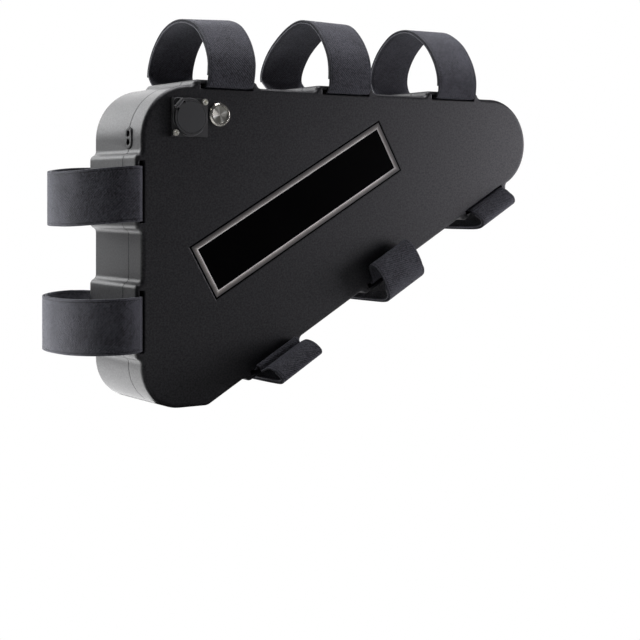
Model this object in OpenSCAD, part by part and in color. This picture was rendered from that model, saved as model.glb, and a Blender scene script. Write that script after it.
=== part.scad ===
// Triangular hard-case e-bike battery with eight hook-and-loop straps.
// X runs along the top edge to the narrow nose, Y through the thickness with the front face at -Y, Z is up.
// The origin is the middle of the outer face of the middle top pad, where the case hangs from the top tube.

/* [Case] */
// Length of the case along its top edge, from the seat-tube side to the nose
case_length = 348.5; // [330:0.5:380]
// Height of the case at its seat-tube side
case_height = 224.5; // [215:0.5:240]
// Room between a cell's end and the outer face of the case
end_room = 5.5; // [5.2:0.1:9]
// Length of the flat bottom edge, between the lower corner and the heel
bottom_flat = 19.9; // [12:0.1:30]
// Radius of the upper corner at the seat-tube side
top_corner_r = 37.3; // [32:0.1:39]
// Radius of the lower corner at the seat-tube side
low_corner_r = 30; // [24:1:34]
// Radius of the nose
nose_r = 35.5; // [33:0.5:38]
// Radius of the blunt corner where the bottom meets the lower edge
heel_r = 9; // [5:1:14]
// Thickness of the case walls
wall = 2.6; // [2:0.1:3]
// Depth of the front lid, from the front face to the seam
lid_depth = 20.3; // [18:0.1:24]
// Width of the seal in the seam
seal_w = 1.2; // [1:0.1:1.4]
// Height of the seal in the seam
seal_h = 1; // [0.6:0.1:1.6]

/* [Strap pads] */
// Rise of the strap pads over the case's edges
pad_rise = 4.4; // [4:0.1:6]
// Length of the flat top of a pad
pad_flat = 45; // [45:0.5:50]
// Steepest slope of a pad's ramps, in degrees
ramp_angle = 65; // [60:1:85]
// Length of the slot under a pad
slot_w = 43; // [42:0.5:44]
// Depth of the slot into the case, below its edge
slot_sink = 1.6; // [1.4:0.1:2.2]
// Thickness of the bridge over a slot
bridge_t = 3.2; // [2.8:0.1:3.6]

/* [Straps] */
// Width of the straps
strap_w = 38; // [34:0.5:40]
// Thickness of one layer of strap
strap_t = 1.4; // [1:0.1:1.6]
// Gap between the two layers of a closed strap
layer_gap = 0.25; // [0.2:0.05:0.4]
// Height of the first top loop over the edge
top_loop_1_h = 51; // [45:1:60]
// Height of the second top loop over the edge
top_loop_2_h = 56.5; // [45:1:62]
// Height of the third top loop over the edge
top_loop_3_h = 55.5; // [45:1:62]
// Height of the upper seat-tube loop over the edge
seat_loop_1_h = 43; // [40:0.5:56]
// Height of the lower seat-tube loop over the edge
seat_loop_2_h = 47; // [40:0.5:58]
// Depth of the flattened loop at the heel, below the lower edge
lower_loop_1_h = 12; // [11:0.5:16]
// Depth of the middle lower loop
lower_loop_2_h = 19.5; // [17:0.5:30]
// Depth of the lower loop at the nose
lower_loop_3_h = 20; // [17:0.5:30]

/* [Charge port] */
// Place of the charge port, from the seat-tube side
port_x = 36; // [35:0.5:40]
// Place of the charge port, below the top edge
port_drop = 22.6; // [21:0.1:26]
// Width of the port's flange
port_flange_w = 28; // [27:0.5:31]
// Height of the port's flange
port_flange_h = 27; // [26:0.5:28]
// Thickness of the port's flange
port_flange_t = 1.6; // [1.2:0.1:2]
// Diameter of the port's barrel behind the panel
port_barrel_d = 21; // [20:0.5:22]
// Length of the port's barrel behind the panel
port_barrel_l = 20; // [16:0.5:24]
// Diameter of the port's mouth
port_mouth_d = 17; // [15:0.5:17.5]
// Depth of the port's mouth
port_mouth_depth = 12; // [11:0.5:14]
// Length of the mouth's close wall, which guides the plug
port_mouth_wall_l = 5; // [4:0.5:6]
// Diameter of the dust cap
cap_d = 22; // [20:0.5:22.5]
// Thickness of the dust cap
cap_t = 2; // [1.6:0.1:2.4]

/* [Power button] */
// Place of the power button, from the seat-tube side
button_x = 60.6; // [60:0.1:66]
// Place of the power button, below the top edge
button_drop = 20; // [18:0.5:24]
// Diameter of the button's bezel
bezel_d = 16.6; // [15.5:0.1:18]
// Height of the bezel over the panel
bezel_h = 1.8; // [1.2:0.1:2.4]
// Diameter of the moving face
plunger_d = 12; // [11:0.1:12.4]
// Travel of the button
button_travel = 1.6; // [1:0.1:2]
// Diameter of the button's threaded barrel
button_barrel_d = 14; // [13.6:0.1:14.8]
// Length of the button's barrel behind the panel
button_barrel_l = 19; // [16:0.5:24]

/* [Label] */
// Length of the front label panel
label_l = 188; // [170:1:190]
// Width of the front label panel
label_w = 43.5; // [38:0.5:46]
// Thickness of the label panel
label_t = 0.6; // [0.4:0.1:0.8]
// Place of the label's middle, from the seat-tube side
label_x = 129; // [124:0.5:134]
// Place of the label's middle, below the top edge
label_drop = 85.3; // [82:0.5:90]
// Length of the rear label panel
rear_label_l = 150; // [120:1:170]
// Width of the rear label panel
rear_label_w = 56; // [44:1:62]

/* [Cable outlet] */
// Place of the outlet's middle, below the top edge
outlet_drop = 37; // [36:0.5:44]
// Length of the outlet's grommet
grommet_l = 15; // [14:0.5:17]
// Width of the outlet's grommet
grommet_w = 10; // [9:0.5:11]
// Diameter of a cable hole
cable_hole_d = 4.6; // [4:0.1:5]
// Spacing of the two cable holes
cable_pitch = 6; // [5.4:0.1:6.6]

/* [Screws] */
// Diameter of the case screws
screw_d = 3; // [2.5:0.1:3.5]
// Length of the case screws under the head
screw_l = 14; // [10:0.5:15]
// Diameter of a case screw's head
screw_head_d = 5.6; // [5:0.1:6]
// Height of a case screw's head
screw_head_h = 2.2; // [1.6:0.1:2.6]
// Outer diameter of the screw bosses
boss_d = 8.6; // [8:0.1:9.4]

/* [Cells] */
// Diameter of a cell
cell_d = 18.4; // [18:0.1:18.6]
// Length of a cell
cell_l = 65; // [64:0.1:65.2]
// Spacing of the cells in their holders
cell_pitch = 20.2; // [20:0.1:20.6]
// Thickness of a cell holder
holder_t = 8; // [5:0.5:12]
// Thickness of the nickel strips
nickel_t = 0.3; // [0.15:0.05:0.4]
// Width of the nickel strips
nickel_w = 8; // [6:0.5:10]
// Thickness of the insulation sheets
sheet_t = 1; // [0.6:0.1:1.2]

/* [Battery board] */
// Length of the battery management board
board_l = 52; // [46:1:52]
// Height of the battery management board
board_h = 48; // [40:1:48]
// Thickness of the board
board_t = 1.6; // [1.2:0.1:2]
// Diameter of the board's standoffs
standoff_d = 6; // [5:0.5:7]
// Thickness of the board's heat sink
sink_t = 6; // [4:0.5:8]

/* [Hidden] */

// Overrun of a cut past the face it opens
cut = 1;
// Clearance between pieces that are fixed together
seat_gap = 0.05;
// Clearance between soft pieces and their neighbours
soft_gap = 0.3;
// Radial clearance of a running fit
run_gap = 0.05;
// Step of the arcs in the case's outline, in degrees
arc_step = 6;
// Step of the arcs in the pads' ramps, in degrees
ramp_step = 20;
// Parts into which each span of a strap's curve is divided
span_parts = 4;
$fn = 48;

// The case is as thick as its cells are long, with the same room at both ends
case_depth = cell_l + 2 * end_room;
front_y = -case_depth / 2;
back_y = case_depth / 2;
seam_y = front_y + lid_depth;
inner_front_y = front_y + wall;
inner_back_y = back_y - wall;

// The lower edge touches the circles of the nose and the heel
nose_c = [case_length - nose_r, -nose_r];
heel_c = [low_corner_r + bottom_flat, heel_r - case_height];
nose_to_heel = norm(nose_c - heel_c);
centre_slope = atan2(nose_c[1] - heel_c[1], nose_c[0] - heel_c[0]);
lower_slope = centre_slope - asin((nose_r - heel_r) / nose_to_heel);

// Outward directions of the case's edges, as angles in the XZ plane
seat_dir = 180;
top_dir = 90;
lower_dir = lower_slope - 90;
bottom_dir = -90;

top_corner_c = [top_corner_r, -top_corner_r];
low_corner_c = [low_corner_r, low_corner_r - case_height];
nose_end = nose_c + nose_r * [cos(lower_dir), sin(lower_dir)];
heel_start = heel_c + heel_r * [cos(lower_dir), sin(lower_dir)];

// A pad with its two ramps
ramp_r = pad_rise / (2 * (1 - cos(ramp_angle)));
ramp_run = 2 * ramp_r * sin(ramp_angle);
ramp_parts = ceil(ramp_angle / ramp_step);
pad_l = pad_flat + 2 * ramp_run;

// Shares of an edge's length free of pads, before each of its pads
top_gap_shares = [0.0020, 0.4431, 0.4451];
seat_gap_shares = [0.1945, 0.7628];
lower_gap_shares = [0.0020, 0.3633, 0.4246];

// Distances of the pads' middles from the start of their edge
function gap_share(shares, i) = i < 0 ? 0 : shares[i] + gap_share(shares, i - 1);
function pad_places(edge_l, shares) = let (free = edge_l - len(shares) * pad_l)
    [for (i = [0:len(shares) - 1]) free * gap_share(shares, i) + (i + 1 / 2) * pad_l];

top_pad_x = [for (s = pad_places(case_length - top_corner_r - nose_r, top_gap_shares)) top_corner_r + s];
seat_pad_z = [for (s = pad_places(case_height - top_corner_r - low_corner_r, seat_gap_shares)) -top_corner_r - s];
lower_pad_s = pad_places(norm(nose_end - heel_start), lower_gap_shares);

// The case frame's place in the part's frame
datum = [top_pad_x[1], 0, pad_rise];

module in_frame() {
    translate(-datum) children();
}

// Outline points, each with its outward direction: [x, z, direction x, direction z]
function arc_ring(c, r, a0, a1) =
    let (n = ceil(abs(a1 - a0) / arc_step))
    [for (k = [0:n]) let (a = a0 + (a1 - a0) * k / n) [c[0] + r * cos(a), c[1] + r * sin(a), cos(a), sin(a)]];

// A pad's outline along its edge: distance along the edge, height over it and outward direction
function pad_side() = concat(
    [for (k = [0:ramp_parts]) let (a = ramp_angle * k / ramp_parts)
        [-pad_flat / 2 - ramp_run + ramp_r * sin(a), ramp_r - ramp_r * cos(a), -sin(a), cos(a)]],
    [for (k = [1:ramp_parts]) let (a = ramp_angle * (1 - k / ramp_parts))
        [-pad_flat / 2 - ramp_r * sin(a), pad_rise - ramp_r + ramp_r * cos(a), -sin(a), cos(a)]]);
function pad_local() = let (side = pad_side(), n = len(side))
    concat(side, [for (k = [n - 1:-1:0]) [-side[k][0], side[k][1], -side[k][2], side[k][3]]]);

// The same points on an edge whose outward direction is dir, about the place c on that edge
function pad_ring(c, dir) = [for (p = pad_local())
    [c[0] + p[0] * sin(dir) + p[1] * cos(dir), c[1] - p[0] * cos(dir) + p[1] * sin(dir),
     p[2] * sin(dir) + p[3] * cos(dir), -p[2] * cos(dir) + p[3] * sin(dir)]];

function top_pad_place(i) = [top_pad_x[i], 0];
function seat_pad_place(i) = [0, seat_pad_z[i]];
function lower_pad_place(i) = nose_end - lower_pad_s[i] * [cos(lower_slope), sin(lower_slope)];

plain_ring = concat(
    arc_ring(top_corner_c, top_corner_r, seat_dir, top_dir),
    arc_ring(nose_c, nose_r, top_dir, lower_dir),
    arc_ring(heel_c, heel_r, lower_dir, bottom_dir),
    arc_ring(low_corner_c, low_corner_r, bottom_dir, -seat_dir));

padded_ring = concat(
    arc_ring(top_corner_c, top_corner_r, seat_dir, top_dir),
    [for (i = [0:2]) each pad_ring(top_pad_place(i), top_dir)],
    arc_ring(nose_c, nose_r, top_dir, lower_dir),
    [for (i = [0:2]) each pad_ring(lower_pad_place(i), lower_dir)],
    arc_ring(heel_c, heel_r, lower_dir, bottom_dir),
    arc_ring(low_corner_c, low_corner_r, bottom_dir, -seat_dir),
    [for (i = [1:-1:0]) each pad_ring(seat_pad_place(i), seat_dir)]);

// A ring's points moved inwards by a distance
function inset(ring, d) = [for (p = ring) [p[0] - d * p[2], p[1] - d * p[3]]];

// A flat shape in XZ, made solid from y0 to y1
module slab(y0, y1) {
    translate([0, y1, 0]) rotate([90, 0, 0]) linear_extrude(height = y1 - y0) children();
}

// Children drawn with X along a pad's edge, Y through the case and Z outwards
module at_edge(place, dir) {
    translate([place[0], 0, place[1]]) rotate([0, 90 - dir, 0]) children();
}

module at_all_pads() {
    for (i = [0:2]) at_edge(top_pad_place(i), top_dir) children();
    for (i = [0:2]) at_edge(lower_pad_place(i), lower_dir) children();
    for (i = [0:1]) at_edge(seat_pad_place(i), seat_dir) children();
}

slot_top = pad_rise - bridge_t;
backing = slot_sink + wall;

// The slot opens out at both faces of the case
flare_l = 1.4;
flare_out = 1.15;
flare_in = 0.8;
slot_side = [
    [front_y - cut, -slot_sink - flare_in], [front_y, -slot_sink - flare_in], [front_y + flare_l, -slot_sink],
    [back_y - flare_l, -slot_sink], [back_y, -slot_sink - flare_in], [back_y + cut, -slot_sink - flare_in],
    [back_y + cut, slot_top + flare_out], [back_y, slot_top + flare_out], [back_y - flare_l, slot_top],
    [front_y + flare_l, slot_top], [front_y, slot_top + flare_out], [front_y - cut, slot_top + flare_out]
];

module strap_slot() {
    translate([-slot_w / 2, 0, 0]) rotate([90, 0, 90]) linear_extrude(height = slot_w) polygon(slot_side);
}

// The wall behind a slot, which stands into the cavity
module slot_backing(y0, y1, extra = 0) {
    translate([-slot_w / 2 - wall - extra, y0, -backing - extra])
        cube([slot_w + 2 * wall + 2 * extra, y1 - y0, backing + pad_rise]);
}

// The cavity between two depths, clear of the walls behind the slots
module cavity(y0, y1, gap = 0) {
    difference() {
        slab(y0, y1) polygon(inset(plain_ring, wall + gap));
        at_all_pads() slot_backing(y0 - cut, y1 + cut, gap);
    }
}

// Room between a screw's boss and the wall beside it
boss_room = 1.6;

// Screw places: two corners, the nose, the bottom, and between the pads
boss_in = boss_d / 2 + wall + boss_room;
boss_at_corner = (top_corner_r - boss_in) * sqrt(0.5);
function between(places, i) = (places[i] + places[i + 1]) / 2;
function between_lower(i) = nose_end
    - between(lower_pad_s, i) * [cos(lower_slope), sin(lower_slope)]
    - boss_in * [cos(lower_dir), sin(lower_dir)];
screw_places = [
    top_corner_c + boss_at_corner * [-1, 1],
    [between(top_pad_x, 0), -boss_in],
    [between(top_pad_x, 1), -boss_in],
    nose_c + [nose_r - boss_in, 0],
    between_lower(0),
    between_lower(1),
    [low_corner_c[0] + boss_d / 2, boss_in - case_height],
    [boss_in, between(seat_pad_z, 0)]
];

module at_screws() {
    for (p = screw_places) translate([p[0], 0, p[1]]) children();
}

// A round bar along Y from y0 to y1
module bar(d, y0, y1) {
    translate([0, y1, 0]) rotate([90, 0, 0]) cylinder(d = d, h = y1 - y0);
}

// What fills the case stays clear of its walls and of the screws' bosses
module room(y0, y1) {
    difference() {
        cavity(y0, y1, seat_gap);
        at_screws() bar(boss_d + 2 * seat_gap, y0 - cut, y1 + cut);
    }
}

seat_web = 4;
head_room = 0.5;
counterbore_d = screw_head_d + 2 * head_room;
head_y = seam_y + seat_web;
thread_end_y = head_y - screw_l;

// An upright slot with round ends, about the origin
module stadium(w, h) {
    r = w / 2;
    square([w, h - w], center = true);
    for (s = [-1, 1]) translate([0, s * (h / 2 - r)]) circle(r = r);
}

// Outlet at the seam in the seat-tube wall
outlet_z = -outlet_drop;
grommet_lip = 1;
grommet_neck_w = grommet_w - 2 * grommet_lip;
grommet_neck_l = grommet_l - 2 * grommet_lip;
grommet_flange_t = 0.6;
grommet_inner_t = 2;

module at_outlet() {
    translate([0, seam_y, outlet_z]) rotate([0, -90, 0]) children();
}

module outlet_hole() {
    at_outlet() translate([0, 0, -wall - grommet_inner_t]) linear_extrude(height = wall + grommet_inner_t + cut)
        rotate(90) stadium(grommet_neck_w, grommet_neck_l);
}

// Labels
label_recess = label_t;
label_x_share = 0.36;
rear_label_z_share = 0.37;
rear_label_place = [case_length * label_x_share, -case_height * rear_label_z_share];

module at_label() {
    translate([label_x, front_y, -label_drop]) rotate([0, -lower_slope, 0]) children();
}

module at_rear_label() {
    translate([rear_label_place[0], back_y, rear_label_place[1]]) rotate([0, -lower_slope, 0]) children();
}

// Board and its standoffs, in the nose
board_x_share = 0.42;
board_z_share = 0.06;
board_place = [nose_c[0] - nose_r * board_x_share, nose_c[1] + nose_r * board_z_share];
board_y = 6;
board_hole_in = 4;
board_hole_d = 2.7;
board_screw_d = 2.6;

module at_board_holes() {
    for (sx = [-1, 1]) for (sz = [-1, 1])
        translate([board_place[0] + sx * (board_l / 2 - board_hole_in), 0,
                   board_place[1] + sz * (board_h / 2 - board_hole_in)]) children();
}

standoff_y = board_y + board_t;
standoff_bore_l = 8;

// Fuse holder on the rear wall, behind the port and the button
fuse_block_l = 24;
fuse_block_w = 12;
fuse_block_h = 14;
fuse_x = (port_x + button_x) / 2;
fuse_z = -(port_drop + button_drop) / 2;

module rear_tray() {
    color([0.09, 0.09, 0.095]) in_frame() difference() {
        union() {
            difference() {
                slab(seam_y, back_y) polygon(inset(padded_ring, 0));
                cavity(seam_y - cut, inner_back_y);
            }
            at_screws() bar(boss_d, seam_y, inner_back_y + cut / 2);
            at_board_holes() bar(standoff_d, standoff_y, inner_back_y + cut / 2);
        }
        at_all_pads() strap_slot();
        at_screws() bar(counterbore_d, head_y, back_y + cut);
        at_screws() bar(screw_d + 2 * run_gap, seam_y - cut, head_y + cut);
        at_board_holes() bar(board_screw_d + 2 * run_gap, standoff_y - cut, standoff_y + standoff_bore_l);
        seal_groove();
        outlet_hole();
        at_rear_label() slab(-label_recess, cut) square([rear_label_l, rear_label_w], center = true);
    }
}

// The seal runs in the rim of the tray
seal_inset = (wall - seal_w) / 2;

module seal_groove() {
    difference() {
        slab(seam_y - cut, seam_y + seal_h) polygon(inset(plain_ring, seal_inset));
        slab(seam_y - 2 * cut, seam_y + seal_h + cut) polygon(inset(plain_ring, seal_inset + seal_w));
        at_all_pads() slot_backing(seam_y - 2 * cut, seam_y + seal_h + 2 * cut, cut);
        at_outlet() translate([0, 0, -2 * wall]) linear_extrude(height = 3 * wall)
            rotate(90) stadium(grommet_w + 2 * cut, grommet_l + 2 * cut);
    }
}

module case_seal() {
    color([0.03, 0.03, 0.03]) in_frame() difference() {
        slab(seam_y, seam_y + seal_h - seat_gap) polygon(inset(plain_ring, seal_inset + seat_gap));
        slab(seam_y - cut, seam_y + seal_h + cut) polygon(inset(plain_ring, seal_inset + seal_w - seat_gap));
        at_all_pads() slot_backing(seam_y - cut, seam_y + seal_h + cut, cut + seat_gap);
        at_outlet() translate([0, 0, -2 * wall]) linear_extrude(height = 3 * wall)
            rotate(90) stadium(grommet_w + 2 * cut + 2 * seat_gap, grommet_l + 2 * cut + 2 * seat_gap);
    }
}

port_room = 0.5;
button_room = 0.3;
port_hole_d = port_barrel_d + 2 * port_room;
button_hole_d = button_barrel_d + 2 * button_room;
port_screw_d = 2.4;
port_screw_l = 8;
port_screw_head_d = 4.4;
port_screw_head_h = 1.5;
port_screw_side = 2.55;
port_screw_end = 2.6;
port_boss_d = 5.6;
port_boss_l = 5.5;

module at_port() {
    translate([port_x, front_y, -port_drop]) children();
}

module at_button() {
    translate([button_x, front_y, -button_drop]) children();
}

// The flange's two screws stand in opposite corners
module at_port_screws() {
    for (s = [-1, 1])
        translate([s * (port_flange_w / 2 - port_screw_side), 0, s * (port_flange_h / 2 - port_screw_end)])
            children();
}

module front_lid() {
    color([0.1, 0.1, 0.105]) in_frame() difference() {
        union() {
            difference() {
                slab(front_y, seam_y) polygon(inset(padded_ring, 0));
                cavity(inner_front_y, seam_y + cut);
            }
            at_screws() bar(boss_d, inner_front_y - cut / 2, seam_y);
            at_port() at_port_screws() bar(port_boss_d, wall - cut / 2, wall + port_boss_l);
        }
        at_all_pads() strap_slot();
        at_screws() bar(screw_d + 2 * run_gap, thread_end_y - cut, seam_y + cut);
        at_port() bar(port_hole_d, -cut, wall + cut);
        at_port() at_port_screws() bar(port_screw_d + 2 * run_gap, -cut, port_screw_l + cut);
        at_button() bar(button_hole_d, -cut, wall + cut);
        outlet_hole();
        at_label() slab(-cut, label_recess) square([label_l, label_w], center = true);
    }
}

module case_screws() {
    color([0.2, 0.2, 0.21]) in_frame() at_screws() difference() {
        union() {
            bar(screw_d, thread_end_y, head_y + cut / 2);
            bar(screw_head_d, head_y, head_y + screw_head_h);
        }
        translate([0, head_y + screw_head_h + cut / 2, 0]) rotate([90, 0, 0])
            cylinder(d = screw_d * 0.8, h = screw_head_h * 0.6 + cut / 2, $fn = 6);
    }
}

module label_panel() {
    color([0.02, 0.02, 0.022]) in_frame() at_label()
        slab(0, label_recess) square([label_l - 2 * seat_gap, label_w - 2 * seat_gap], center = true);
}

border_in = 1.3;
border_w = 2.6;
line_in = 4.1;
line_w = 0.9;
border_t = 0.12;

module border_ring(inner, w) {
    difference() {
        slab(-border_t, 0) square([label_l - 2 * inner, label_w - 2 * inner], center = true);
        slab(-border_t - cut, cut) square([label_l - 2 * inner - 2 * w, label_w - 2 * inner - 2 * w], center = true);
    }
}

module label_border() {
    color([0.7, 0.7, 0.72]) in_frame() at_label() {
        border_ring(border_in, border_w);
        border_ring(line_in, line_w);
    }
}

module rear_label_panel() {
    color([0.05, 0.05, 0.055]) in_frame() at_rear_label()
        slab(-label_recess, 0) square([rear_label_l - 2 * seat_gap, rear_label_w - 2 * seat_gap], center = true);
}

// Strap loops: places along each loop from the front mouth of the slot to the rear one.
// The first number of a place is a share of half the case's depth, the second of the loop's height.
tunnel_v = (slot_top - slot_sink) / 2;
mouth_u = back_y + strap_t / 2 + soft_gap;
mouth_r = 1.5 * strap_t;
round_share = [
    [-1.06, 0.10], [-1.06, 0.24], [-1.00, 0.44], [-0.80, 0.67], [-0.45, 0.88], [0.02, 0.985],
    [0.46, 0.985], [0.88, 0.88], [1.22, 0.66], [1.40, 0.42], [1.42, 0.24], [1.24, 0.11]
];
peaked_share = [
    [-1.06, 0.10], [-1.05, 0.30], [-0.98, 0.50], [-0.76, 0.73], [-0.42, 0.92], [-0.05, 0.985],
    [0.30, 0.96], [0.72, 0.85], [1.18, 0.65], [1.46, 0.42], [1.50, 0.24], [1.26, 0.11]
];
upright_share = [
    [-1.06, 0.10], [-1.04, 0.28], [-0.90, 0.52], [-0.60, 0.77], [-0.15, 0.95], [0.24, 0.99],
    [0.62, 0.93], [1.00, 0.75], [1.24, 0.54], [1.32, 0.36], [1.28, 0.20], [1.16, 0.10]
];
bulged_share = [
    [-1.10, 0.10], [-1.20, 0.26], [-1.18, 0.46], [-0.94, 0.72], [-0.52, 0.91], [-0.05, 0.985],
    [0.42, 0.985], [0.84, 0.90], [1.18, 0.68], [1.34, 0.44], [1.34, 0.24], [1.20, 0.11]
];
flattened_share = [
    [-1.062, -0.28], [-1.10, -0.50], [-1.17, -0.40], [-1.19, 0.00], [-1.30, -0.16], [-1.50, -0.42],
    [-1.70, -0.28], [-1.82, 0.12], [-1.84, 0.52], [-1.72, 0.86], [-1.40, 0.94], [-0.60, 0.94],
    [0.30, 0.94], [0.90, 0.93], [1.18, 0.72], [1.20, 0.36]
];
folded_share = [
    [-1.07, -0.28], [-1.10, -0.60], [-1.19, -0.82], [-1.33, -0.76], [-1.41, -0.42], [-1.42, 0.05],
    [-1.36, 0.42], [-1.20, 0.76], [-0.94, 0.94], [-0.40, 0.965], [0.30, 0.965], [0.86, 0.92],
    [1.20, 0.70], [1.28, 0.40], [1.16, 0.16]
];
low_share = [
    [-1.09, 0.09], [-1.18, 0.26], [-1.21, 0.48], [-1.12, 0.75], [-0.84, 0.93], [-0.30, 0.965],
    [0.34, 0.965], [0.88, 0.92], [1.20, 0.72], [1.27, 0.42], [1.16, 0.16]
];

function loop_places(share, h) = concat(
    [[-mouth_u + mouth_r, tunnel_v], [-mouth_u, tunnel_v + sign(share[0][1]) * mouth_r]],
    [for (s = share) [s[0] * case_depth / 2, s[1] * h]],
    [[mouth_u, tunnel_v + mouth_r], [mouth_u - mouth_r, tunnel_v]]);

// A smooth curve through places
function spline_at(a, b, c, d, t) = 0.5 * ((2 * b) + (c - a) * t
    + (2 * a - 5 * b + 4 * c - d) * t * t + (3 * b - a - 3 * c + d) * t * t * t);
function smooth(p) = let (n = len(p) - 1) concat(
    [for (i = [0:n - 1]) for (k = [0:span_parts - 1])
        spline_at(p[max(i - 1, 0)], p[i], p[i + 1], p[min(i + 2, n)], k / span_parts)],
    [p[n]]);

function unit(v) = v / norm(v);
// The direction to the inside of a loop at a point of its curve
function inward(p, i) = let (t = unit(p[min(i + 1, len(p) - 1)] - p[max(i - 1, 0)])) [t[1], -t[0]];

inner_end_share = 0.16;
outer_end_share = 0.8;
taper_from = 0.83;
taper_to = 0.95;

// The strap's middle line: inner layer, tunnel, then outer layer
function strap_line(p, first) = let (n = len(p) - 1, i0 = round(n * first), i1 = round(n * outer_end_share))
    concat(
        [for (i = [i0:n]) let (f = max(0, min(1, (taper_to - i / n) / (taper_to - taper_from))))
            p[i] + inward(p, i) * (strap_t + layer_gap) * f],
        [for (i = [0:i1]) p[i]]);

function band(line, t) = concat(
    [for (i = [0:len(line) - 1]) line[i] + inward(line, i) * t / 2],
    [for (i = [len(line) - 1:-1:0]) line[i] - inward(line, i) * t / 2]);

module strap(share, h, shift, first = inner_end_share) {
    color([0.08, 0.08, 0.085])
        translate([shift - strap_w / 2, 0, 0]) rotate([90, 0, 90]) linear_extrude(height = strap_w)
            polygon(band(strap_line(smooth(loop_places(share, h)), first), strap_t));
}

// How far a strap lies from the middle of its slot
top_shift = (slot_w - strap_w) / 2 - soft_gap;
seat_shift_share = 0.6;
seat_shift = -top_shift * seat_shift_share;
lower_shift = -top_shift;
fold_start_share = 0.42;

module top_strap_1() { in_frame() at_edge(top_pad_place(0), top_dir) strap(round_share, top_loop_1_h, top_shift); }
module top_strap_2() { in_frame() at_edge(top_pad_place(1), top_dir) strap(peaked_share, top_loop_2_h, top_shift); }
module top_strap_3() { in_frame() at_edge(top_pad_place(2), top_dir) strap(upright_share, top_loop_3_h, top_shift); }
module seat_strap_1() { in_frame() at_edge(seat_pad_place(0), seat_dir) strap(round_share, seat_loop_1_h, seat_shift); }
module seat_strap_2() { in_frame() at_edge(seat_pad_place(1), seat_dir) strap(bulged_share, seat_loop_2_h, seat_shift); }
module lower_strap_1() {
    in_frame() at_edge(lower_pad_place(2), lower_dir)
        strap(flattened_share, lower_loop_1_h, lower_shift, fold_start_share);
}
module lower_strap_2() {
    in_frame() at_edge(lower_pad_place(1), lower_dir)
        strap(folded_share, lower_loop_2_h, lower_shift, fold_start_share);
}
module lower_strap_3() {
    in_frame() at_edge(lower_pad_place(0), lower_dir) strap(low_share, lower_loop_3_h, lower_shift);
}

// Charge port. Its own frame has Y through the panel, with 0 at the front face and the lid at Y above 0.
gasket_t = 0.5;
flange_front = -gasket_t - port_flange_t;
rim_t = 1.3;
rim_gap = 0.25;
rim_h = cap_t;
mouth_step = 0.5;
chamber_d = port_mouth_d + 2 * mouth_step;
chamber_y = flange_front + port_mouth_wall_l;
insert_d = chamber_d - 2 * seat_gap;
hinge_dir = 135;
hinge_r = 1.4;
pin_d = 1.2;
hinge_room = 0.6;
hinge_lift = 0.3;
hinge_reach = cap_d / 2 + rim_gap + hinge_r + hinge_room;
hinge_y = flange_front - hinge_r - hinge_lift;
knuckle_l = 5;
ear_l = 1.6;
ear_gap = 0.15;
hinge_notch = knuckle_l + 2 * ear_l + 4 * ear_gap;

// Children drawn with Z towards the hinge and X along its pin
module to_hinge() {
    rotate([0, 90 - hinge_dir, 0]) children();
}

module port_gasket() {
    color([0.05, 0.05, 0.05]) in_frame() at_port() difference() {
        slab(-gasket_t, 0) square([port_flange_w, port_flange_h], center = true);
        bar(port_hole_d, -gasket_t - cut, cut);
        at_port_screws() bar(port_screw_d + 2 * run_gap, -gasket_t - cut, cut);
    }
}

module port_shell() {
    color([0.14, 0.14, 0.145]) in_frame() at_port() difference() {
        union() {
            slab(flange_front, -gasket_t) square([port_flange_w, port_flange_h], center = true);
            difference() {
                bar(cap_d + 2 * rim_gap + 2 * rim_t, flange_front - rim_h, flange_front + cut / 2);
                bar(cap_d + 2 * rim_gap, flange_front - rim_h - cut, flange_front);
                to_hinge() translate([-hinge_notch / 2, flange_front - rim_h - cut, 0])
                    cube([hinge_notch, rim_h + cut, cap_d]);
            }
            bar(port_barrel_d, -gasket_t - cut / 2, port_barrel_l);
            to_hinge() for (s = [-1, 1])
                translate([s * (knuckle_l / 2 + ear_gap + ear_l / 2), 0, hinge_reach]) ear();
        }
        bar(port_mouth_d, flange_front - cut, chamber_y + cut);
        bar(chamber_d, chamber_y, port_barrel_l + cut);
        at_port_screws() bar(port_screw_d + 2 * run_gap, flange_front - cut, cut);
        at_port_screws() bar(port_screw_head_d + 4 * run_gap, flange_front - rim_h - cut, flange_front);
        to_hinge() translate([-hinge_notch, hinge_y, hinge_reach]) rotate([0, 90, 0])
            cylinder(d = pin_d + 2 * seat_gap, h = 2 * hinge_notch);
    }
}

module ear() {
    translate([-ear_l / 2, hinge_y, 0]) rotate([0, 90, 0]) cylinder(r = hinge_r, h = ear_l);
    translate([-ear_l / 2, hinge_y, -hinge_r]) cube([ear_l, flange_front - hinge_y + cut / 2, 2 * hinge_r]);
}

insert_front = port_mouth_depth - gasket_t - port_flange_t;

module port_insert() {
    color([0.16, 0.16, 0.17]) in_frame() at_port() difference() {
        bar(insert_d, insert_front, port_barrel_l);
        at_port_pins() bar(charge_pin_d + 2 * seat_gap, insert_front - cut, port_barrel_l + cut);
    }
}

charge_pin_d = 2.4;
pin_ring_share = 0.24;
charge_pin_ring = port_mouth_d * pin_ring_share;
charge_pin_l = 4.5;
tail_l = 4;

module at_port_pins() {
    for (a = [90, 210, 330])
        translate([charge_pin_ring * cos(a), 0, charge_pin_ring * sin(a)]) children();
}

module port_pins() {
    color([0.85, 0.72, 0.35]) in_frame() at_port() at_port_pins()
        bar(charge_pin_d, insert_front - charge_pin_l, port_barrel_l + tail_l);
}

cap_gap = 0.1;
cap_back = flange_front - cap_gap;
cap_front = cap_back - cap_t;
arm_w = knuckle_l;

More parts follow.
